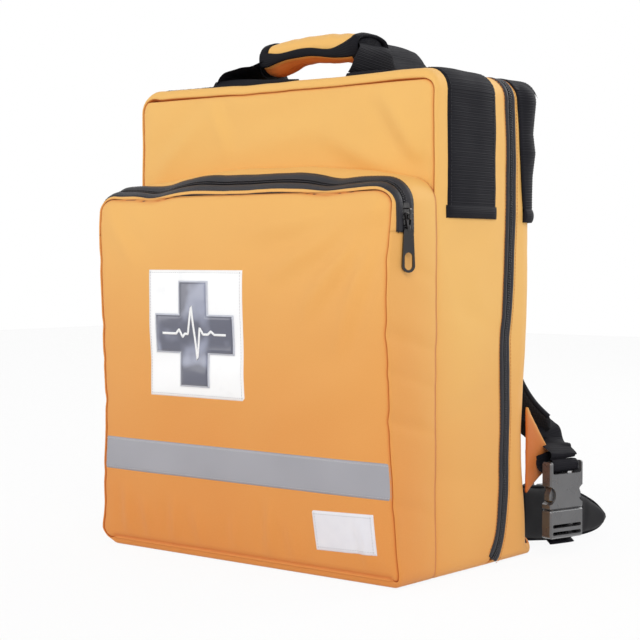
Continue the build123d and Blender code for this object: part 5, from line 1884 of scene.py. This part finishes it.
# ---------------------------------------------------------------- shoulder straps
STRAP_RUN = (
    (56, 127.5, 406), (60, 137, 386), (66, 146, 362), (77, 155, 322), (84, 160, 285), (91, 161, 250),
    (98, 160, 215), (104, 157, 186), (117, 156, 158), (135, 161, 132), (159, 167.5, 110),
)
STRAP_WIDTHS = (60, 62, 62, 62, 62, 61, 58, 50, 43, 39, 37)
STRAP_DEPTHS = (8, 10, 12, 13, 13.5, 13.5, 13.5, 13, 12.5, 12, 9)
STRAP_PIVOT_Z = 0.412


def strap_sections(columns=40, grow=0.0):
    """Sections of the right shoulder strap, flattened loops square to its run."""
    path = smooth_path(np.array(STRAP_RUN) * mm, 4 * mm)
    wide = along_path(path, STRAP_WIDTHS) * mm + grow
    deep = along_path(path, STRAP_DEPTHS) * mm
    ahead = unit(np.gradient(path, axis=0))
    across = unit(np.array([1.0, 0, 0]) - ahead * ahead[:, :1])
    face = np.cross(across, ahead)
    turn = np.linspace(0, 2 * np.pi, columns, endpoint=False)
    cos, sin = np.cos(turn), np.sin(turn)
    level = np.sign(sin) * np.abs(sin) ** 0.75 * (1 - 0.45 * np.abs(cos) ** 6)
    share = arcs(path) / arcs(path)[-1]
    ends = np.clip(np.minimum(share, 1 - share) / 0.018, 0.25, 1) ** 0.5
    grid = (
        path[:, None] + across[:, None] * (np.sign(cos) * np.abs(cos) ** 0.85)[None, :, None]
        * (wide * ends / 2)[:, None, None] + face[:, None] * level[None, :, None] * (deep * ends / 2)[:, None, None]
    )
    return path, across, face, wide, grid


class BACKPACK_OT_harness(bpy.types.Operator):
    """Back pad, lumbar pad, yoke, shoulder straps, anchor tabs and hip belt"""

    bl_idname = "backpack.harness"
    bl_label = "Harness"

    def execute(self, context):
        cushion("back_cushion", "back_pad", 30 * mm, (0.177, 0.281), 2 * mm)
        cushion("lumbar_cushion", "lumbar_pad", 10 * mm, (), 2 * mm)
        self.yoke()
        for side, sign in (("right", 1), ("left", -1)):
            self.strap(side, sign)
            self.tab(side, sign)
            self.wing(side, sign)
        for node in ("strap_buckle_female_right", "strap_buckle_female_left", "strap_buckle_male_right",
                     "strap_buckle_male_left", "strap_buckle_right_arm_a", "strap_buckle_right_arm_b",
                     "strap_buckle_left_arm_a", "strap_buckle_left_arm_b", "belt_buckle_female",
                     "belt_buckle_male", "belt_buckle_arm_a", "belt_buckle_arm_b"):
            dress(node, "buckle_black")
        for node in ("front_board", "back_board"):
            dress(node, "board_grey")
        return {"FINISHED"}

    def yoke(self):
        """The band of webbing that the straps are sewn under, with a boxed cross of stitches."""
        small, large = low("strap_yoke"), high("strap_yoke")
        x = np.linspace(large.x, small.x, int((large.x - small.x) / (0.62 * mm)))
        path = np.stack([x, np.full(len(x), (small.y + large.y) / 2 + 0.6 * mm), np.full(len(x), (small.z + large.z) / 2)], 1)
        band = ribbon("yoke_web", path, (0, 0, -1), large.z - small.z, thick=2.6 * mm)
        finished(band, "root", ("strap_yoke",))
        level = np.full(60, path[0, 1] + 1.6 * mm)
        rows = [
            (np.stack([np.linspace(small.x + 4 * mm, large.x - 4 * mm, 60), level, np.full(60, z)], 1), np.array([[0, 1.0, 0]]))
            for z in (small.z + 4 * mm, large.z - 4 * mm)
        ]
        for left in (small.x + 10 * mm, large.x - 52 * mm):
            for start, end in ((small.z + 5 * mm, large.z - 5 * mm), (large.z - 5 * mm, small.z + 5 * mm)):
                line = np.stack([np.linspace(left, left + 42 * mm, 60), level, np.linspace(start, end, 60)], 1)
                rows.append((line, np.array([[0, 1.0, 0]])))
        sewn("yoke_stitches", rows, "black_thread", "root")

    def strap(self, side, sign):
        """A padded shoulder strap with bound edges and its webbing down to the buckle."""
        flip = np.array([sign, 1, 1])
        body = f"shoulder_strap_{side}"
        path, across, face, wide, grid = strap_sections()
        facing = normals(grid, True)
        dent = np.zeros(grid.shape[:2])
        for column in (4, 16, 24, 36):
            gap = np.abs(np.arange(40) - column)
            dent += 0.9 * mm * np.exp(-(gap / 1.1) ** 2)[None]
        soft = 0.6 * mm * unevenness(grid, 30 * mm, 51)
        grid = grid + facing * (soft - dent)[..., None]
        pad = tube(f"strap_pad_{side}", grid * flip, "black_mesh")
        finished(pad, body, (f"shoulder_strap_{side}",))
        turn = np.linspace(0, 2 * np.pi, 12, endpoint=False)
        for name, way in (("outer", 1), ("inner", -1)):
            edge = path + across * (way * (wide / 2 - 0.6 * mm))[:, None]
            ring = edge[:, None] + (
                across[:, None] * (1.7 * mm * np.cos(turn))[None, :, None]
                + face[:, None] * (3.1 * mm * np.sin(turn))[None, :, None]
            )
            ring = ring[2:-2]
            binding = tube(f"strap_binding_{side}_{name}", ring * flip, "black_webbing")
            finished(binding, body)
            line = (path + across * (way * (wide / 2 - 3.4 * mm))[:, None] + face * 5.6 * mm)[4:-4]
            sewn(f"strap_stitches_{side}_{name}", [(line * flip, face[4:-4] * flip)], "black_thread", body)
        self.strap_web(side, sign)

    def strap_web(self, side, sign):
        """Webbing from the strap to the housing's bar, and from the plug up to the anchor tab."""
        flip = np.array([sign, 1, 1])
        body = f"shoulder_strap_{side}"
        across = np.array([sign * math.sin(BUCKLE_TURN), math.cos(BUCKLE_TURN), 0])
        out = np.array([math.cos(BUCKLE_TURN), -math.sin(BUCKLE_TURN), 0])
        along = np.array([math.sin(BUCKLE_TURN), math.cos(BUCKLE_TURN), 0])
        at = np.array(BUCKLE_AT) * mm
        top = BUCKLE_TOP * mm
        turn = np.linspace(-0.5 * np.pi, 1.5 * np.pi, 40)
        middle = at + np.array([0, 0, top - 4 * mm])
        loop = middle + out * (4.6 * mm * np.cos(turn))[:, None]
        loop[:, 2] += 6.0 * mm * np.sin(turn)
        end = np.array(STRAP_RUN[-1]) * mm
        rise = smooth_path([
            middle + (0, 0, 6.6 * mm), middle + out * 1 * mm + (0, 0, 12 * mm),
            (at + end) / 2 + (4 * mm, -5 * mm, 22 * mm), end + (6 * mm, 0, -6 * mm), end + (0, 0, 6 * mm),
            np.array(STRAP_RUN[-2]) * mm + (3 * mm, 2 * mm, 0),
        ], 0.8 * mm)
        width = BELT_W * mm
        upper = ribbon(f"strap_web_{side}", rise * flip, sign * (across * np.array([1, 1, 1])), width, thick=1.6 * mm)
        finished(upper, body, (f"strap_webbing_{side}",))
        ring = ribbon(f"strap_loop_{side}", loop * flip, across, width, thick=1.6 * mm)
        finished(ring, body)
        behind = at - out * 7.6 * mm
        tab = np.array([TAB_OUT, TAB_TIP[0] - 12, TAB_TIP[1]]) * mm
        lower = smooth_path([
            tab + (1.2 * mm, -2 * mm, 10 * mm), tab + (1.6 * mm, 0, 0), (tab + behind + (0, 0, 21 * mm)) / 2 + (2 * mm, 0, 3 * mm),
            behind + (0, 0, 16 * mm), behind + (0, 0, -10 * mm), behind + (0, 0, -34 * mm),
            at + (0, 0, -42 * mm),
        ], 0.8 * mm)
        anchor = ribbon(f"anchor_web_{side}", lower * flip, sign * across, width, thick=1.6 * mm)
        bending(
            anchor, ("root", body), (0, 0, TAB_TIP[1] * mm), (0, 0, (TAB_TIP[1] - 22) * mm),
            "black_webbing", (f"anchor_webbing_{side}",),
        )

    def tab(self, side, sign):
        """The triangular nylon tab that holds a strap's lower end, folded along its upper edge."""
        small, large = low(f"anchor_tab_{side}"), high(f"anchor_tab_{side}")
        seam_y, x = small.y + 2 * mm, (small.x + large.x) / 2 if sign > 0 else -(small.x + large.x) / 2
        rows, columns = 26, 30
        up, out = np.meshgrid(np.linspace(0, 1, rows), np.linspace(0, 1, columns), indexing="ij")
        seam_z = 60 + 82 * up
        tip_z = TAB_TIP[1] - 3 + 6 * up
        grid = np.empty((rows, columns, 3))
        grid[..., 1] = seam_y * (1 - out) + TAB_TIP[0] * mm * out
        grid[..., 2] = (seam_z * (1 - out) + tip_z * out) * mm
        cup = 2.5 * mm * np.sin(np.pi * out) * (0.6 + 0.4 * np.cos(np.pi * up))
        grid[..., 0] = x - cup + 0.5 * mm * unevenness(grid, 30 * mm, 61)
        outer, inner = grid + (1.2 * mm, 0, 0), grid - (1.2 * mm, 0, 0)
        # Painted shade: seam values darken the tab's nylon all over, most beside its seam and hardly at all along its
        # folded upper edge.
        seam = 0.78 + 0.22 * (1 - out)
        seam = seam * (1 - 0.9 * np.exp(-(1 - up) / 0.05))
        if sign < 0:
            outer, inner, seam = twin(outer), twin(inner), seam[:, ::-1]
        if normals(outer)[5, 5, 0] * sign < 0:
            outer, inner, seam = outer[:, ::-1], inner[:, ::-1], seam[:, ::-1]
        made = cloth_sheet(f"tab_cloth_{side}", outer, inner, ("orange_nylon", "orange_nylon"), seam=seam)
        finished(made, "root", (f"anchor_tab_{side}",))

    def wing(self, side, sign):
        """A padded hip wing with a piped edge, and the belt's webbing along its inner face."""
        flip = np.array([sign, 1, 1])
        body = f"hip_wing_{side}"
        upper = smooth_path(np.array([(0, 60), (40, 56), (78, 49), (113, 34), (131, 20), (133, 16)]) * mm, 2 * mm)
        lower = smooth_path(np.array([(0, 8), (28, 5), (56, 2.8), (98, 3), (121, 6.5), (133, 15)]) * mm, 2 * mm)
        share = np.linspace(0, 1, 46)
        top = np.stack([np.interp(share, arcs(upper) / arcs(upper)[-1], upper[:, axis]) for axis in (0, 1)], 1)
        base = np.stack([np.interp(share, arcs(lower) / arcs(lower)[-1], lower[:, axis]) for axis in (0, 1)], 1)
        turn = np.linspace(0, 2 * np.pi, 44, endpoint=False)
        cos, sin = np.cos(turn), np.sin(turn)
        height = (np.sign(cos) * np.abs(cos) ** 0.9 + 1) / 2
        place_in = base[:, None] * (1 - height)[None, :, None] + top[:, None] * height[None, :, None]
        tall = np.linalg.norm(top - base, axis=1)
        deep = np.minimum(WING_HALF * mm, 1.5 * mm + 0.32 * tall)
        level = np.sign(sin) * np.abs(sin) ** 0.6 * (1 - 0.4 * np.abs(cos) ** 8)
        root = np.array(WING_AT) * mm
        ahead = np.array([math.sin(WING_FLARE), math.cos(WING_FLARE), 0])
        out = np.array([math.cos(WING_FLARE), -math.sin(WING_FLARE), 0])
        grid = root + place_in[..., :1] * ahead + out * (level[None] * deep[:, None])[..., None]
        grid[..., 2] = place_in[..., 1]
        facing = normals(grid, True)
        if (facing[20, 11] @ out) < 0:
            facing = -facing
        quilt = 0.7 * mm * unevenness(grid, 26 * mm, 71)
        for mark in (0.36, 0.68):
            quilt -= 0.9 * mm * np.exp(-((share[:, None] - mark) / 0.014) ** 2) * np.abs(sin) ** 2
        grid = grid + facing * quilt[..., None]
        pad = tube(f"wing_pad_{side}", grid * flip, "wing_cloth")
        finished(pad, body, (f"hip_wing_{side}",))
        rim = np.concatenate([top, base[::-1][1:]])
        centre = root + rim[:, :1] * ahead
        centre[:, 2] = rim[:, 1]
        run = unit(np.gradient(centre, axis=0))
        side_way = np.cross(run, np.broadcast_to(out, run.shape))
        ring = centre[:, None] + (
            out[None, None] * (2.6 * mm * np.cos(turn[::4]))[None, :, None]
            + side_way[:, None] * (1.5 * mm * np.sin(turn[::4]))[None, :, None]
        )
        finished(tube(f"wing_piping_{side}", ring * flip, "black_webbing"), body)
        self.belt(side, sign, root, ahead, out)

    def belt(self, side, sign, root, ahead, out):
        """Webbing along the wing's inner face, which turns in behind the tip to the buckle."""
        flip = np.array([sign, 1, 1])
        inside = WING_HALF * mm + 0.8 * mm
        radius = BELT_TURN[1] * mm
        turn = np.linspace(0, np.pi / 2, 16)
        bend = BELT_TURN[0] * mm + radius * np.sin(turn)
        level = inside + radius * (1 - np.cos(turn))
        run = np.concatenate([np.linspace(38 * mm, BELT_TURN[0] * mm, 60)[:-1], bend, np.full(30, bend[-1])])
        off = np.concatenate([np.full(59, inside), level, np.linspace(level[-1], BELT_TURN[2] * mm, 31)[1:]])
        path = root + run[:, None] * ahead - off[:, None] * out
        path[:, 2] = BELT_LEVEL * mm
        path = smooth_path(path[::3], 0.8 * mm)
        web = ribbon(f"belt_web_{side}", path * flip, (0, 0, sign), BELT_W * mm, thick=1.6 * mm)
        finished(web, f"hip_wing_{side}", (f"belt_webbing_{side}",))


BUCKLE_AT, BUCKLE_TURN, BUCKLE_TOP = (192, 144, 50), math.radians(15), 38.0
BELT_W, BELT_LEVEL, BELT_TURN = 33, 24, (95, 14.2, 42)
TAB_OUT, TAB_TIP = 177.4, (152, 86)
WING_AT, WING_HALF, WING_FLARE = (149, 134.3, 0), 6.0, math.radians(9)

# ---------------------------------------------------------------- floor, light and camera
FLOOR_HALF = 4.0
FLOOR_DROP = 0.3 * mm
CAMERA_AT = (0.9801, -1.1944, 0.2842)
CAMERA_TILT, CAMERA_TURN = -2.22, 39.21
CAMERA_LENS, CAMERA_SENSOR = 89.4, 36.0


def lamp(name, place, target, size, power, tone=(1.0, 1.0, 1.0)):
    data = bpy.data.lights.new(name, "AREA")
    data.size, data.energy, data.color = size, power, tone
    made = bpy.data.objects.new(name, data)
    bpy.context.scene.collection.objects.link(made)
    made.location = place
    made.rotation_euler = (Vector(target) - Vector(place)).to_track_quat("-Z", "Y").to_euler()
    return made


def seen_white(tree, shader, output, share):
    """Shows what lies behind, or white, to the camera and mirrors, and the shader to other rays."""
    rays, white = tree.nodes.new("ShaderNodeLightPath"), tree.nodes.new("ShaderNodeBackground")
    if output.type == "OUTPUT_MATERIAL":
        white = tree.nodes.new("ShaderNodeBsdfTransparent")
    white.inputs["Color"].default_value = (1, 1, 1, 1)
    mirrors = Value(tree, rays.outputs["Is Camera Ray"]).math(
        "MAXIMUM", Value(tree, rays.outputs["Is Glossy Ray"])
    ).math("MAXIMUM", Value(tree, rays.outputs["Is Transmission Ray"]))
    mixed = tree.nodes.new("ShaderNodeMixShader")
    put(tree, mixed.inputs[0], mirrors * share)
    tree.links.new(shader.outputs[0], mixed.inputs[1])
    tree.links.new(white.outputs[0], mixed.inputs[2])
    tree.links.new(mixed.outputs[0], output.inputs["Surface"])


class BACKPACK_OT_stage(bpy.types.Operator):
    """Pale floor, white surroundings, soft studio lamps and the camera"""

    bl_idname = "backpack.stage"
    bl_label = "Stage"

    def execute(self, context):
        scene, light = context.scene, context.scene.backpack_light
        world = bpy.data.worlds.new("studio")
        world.use_nodes = True
        nodes = world.node_tree.nodes
        nodes["Background"].inputs["Color"].default_value = (1, 1, 1, 1)
        nodes["Background"].inputs["Strength"].default_value = light.world
        seen_white(world.node_tree, nodes["Background"], nodes["World Output"], 1.0)
        scene.world = world

        corners = [(x * FLOOR_HALF, y * FLOOR_HALF, -FLOOR_DROP) for x, y in ((-1, -1), (1, -1), (1, 1), (-1, 1))]
        mesh = bpy.data.meshes.new("floor")
        mesh.from_pydata(corners, [], [(0, 1, 2, 3)])
        floor = bpy.data.objects.new("floor", mesh)
        scene.collection.objects.link(floor)
        paper = Finish("floor_paper")
        speckle = paper.noise(paper.place(), 30.0)
        paper.set(Base_Color=paper.mix(speckle, (0.88, 0.88, 0.88), (0.9, 0.9, 0.9)), Roughness=0.9)
        tree = paper.tree
        seen_white(tree, paper.shader, tree.nodes["Material Output"], light.floor_glow)
        mesh.materials.append(paper.material)

        middle = (0.0, 0.0, 0.24)
        lamp("key", (1.9, -1.5, 1.7), middle, 1.5, light.key)
        lamp("fill", (-1.6, -2.1, 0.9), middle, 1.8, light.fill)
        lamp("back", (0.6, 2.2, 1.5), middle, 1.5, light.back)
        camera = bpy.data.objects.new("camera", bpy.data.cameras.new("camera"))
        camera.data.lens, camera.data.sensor_width = CAMERA_LENS, CAMERA_SENSOR
        camera.location = CAMERA_AT
        camera.rotation_euler = (math.radians(90 + CAMERA_TILT), 0, math.radians(CAMERA_TURN))
        scene.collection.objects.link(camera)
        scene.camera = camera
        scene.view_settings.view_transform = "Standard"
        return {"FINISHED"}



OPERATORS = (
    BACKPACK_OT_shells, BACKPACK_OT_pocket, BACKPACK_OT_zips, BACKPACK_OT_bands, BACKPACK_OT_trims,
    BACKPACK_OT_handles, BACKPACK_OT_harness, BACKPACK_OT_stage,
)


class BACKPACK_PT_panel(bpy.types.Panel):
    """Lists the steps that dress the backpack, with their settings"""

    bl_idname = "BACKPACK_PT_panel"
    bl_label = "Trauma backpack"
    bl_space_type = "VIEW_3D"
    bl_region_type = "UI"
    bl_category = "Backpack"

    def draw(self, context):
        layout = self.layout
        for name in ("backpack_cloth", "backpack_trim", "backpack_light"):
            settings = getattr(context.scene, name)
            box = layout.box()
            for key in settings.bl_rna.properties.keys():
                if key not in ("rna_type", "name"):
                    box.prop(settings, key)
        for operator in OPERATORS:
            layout.operator(operator.bl_idname)


GROUPS = (BackpackCloth, BackpackTrim, BackpackLight)


def register():
    for each in (*GROUPS, *OPERATORS, BACKPACK_PT_panel):
        bpy.utils.register_class(each)
    bpy.types.Scene.backpack_cloth = bpy.props.PointerProperty(type=BackpackCloth)
    bpy.types.Scene.backpack_trim = bpy.props.PointerProperty(type=BackpackTrim)
    bpy.types.Scene.backpack_light = bpy.props.PointerProperty(type=BackpackLight)


def unregister():
    for name in ("backpack_light", "backpack_trim", "backpack_cloth"):
        delattr(bpy.types.Scene, name)
    for each in (BACKPACK_PT_panel, *OPERATORS[::-1], *GROUPS[::-1]):
        bpy.utils.unregister_class(each)


def main():
    register()
    for operator in OPERATORS:
        getattr(bpy.ops.backpack, operator.bl_idname.split(".")[1])()


if __name__ == "__main__":
    main()
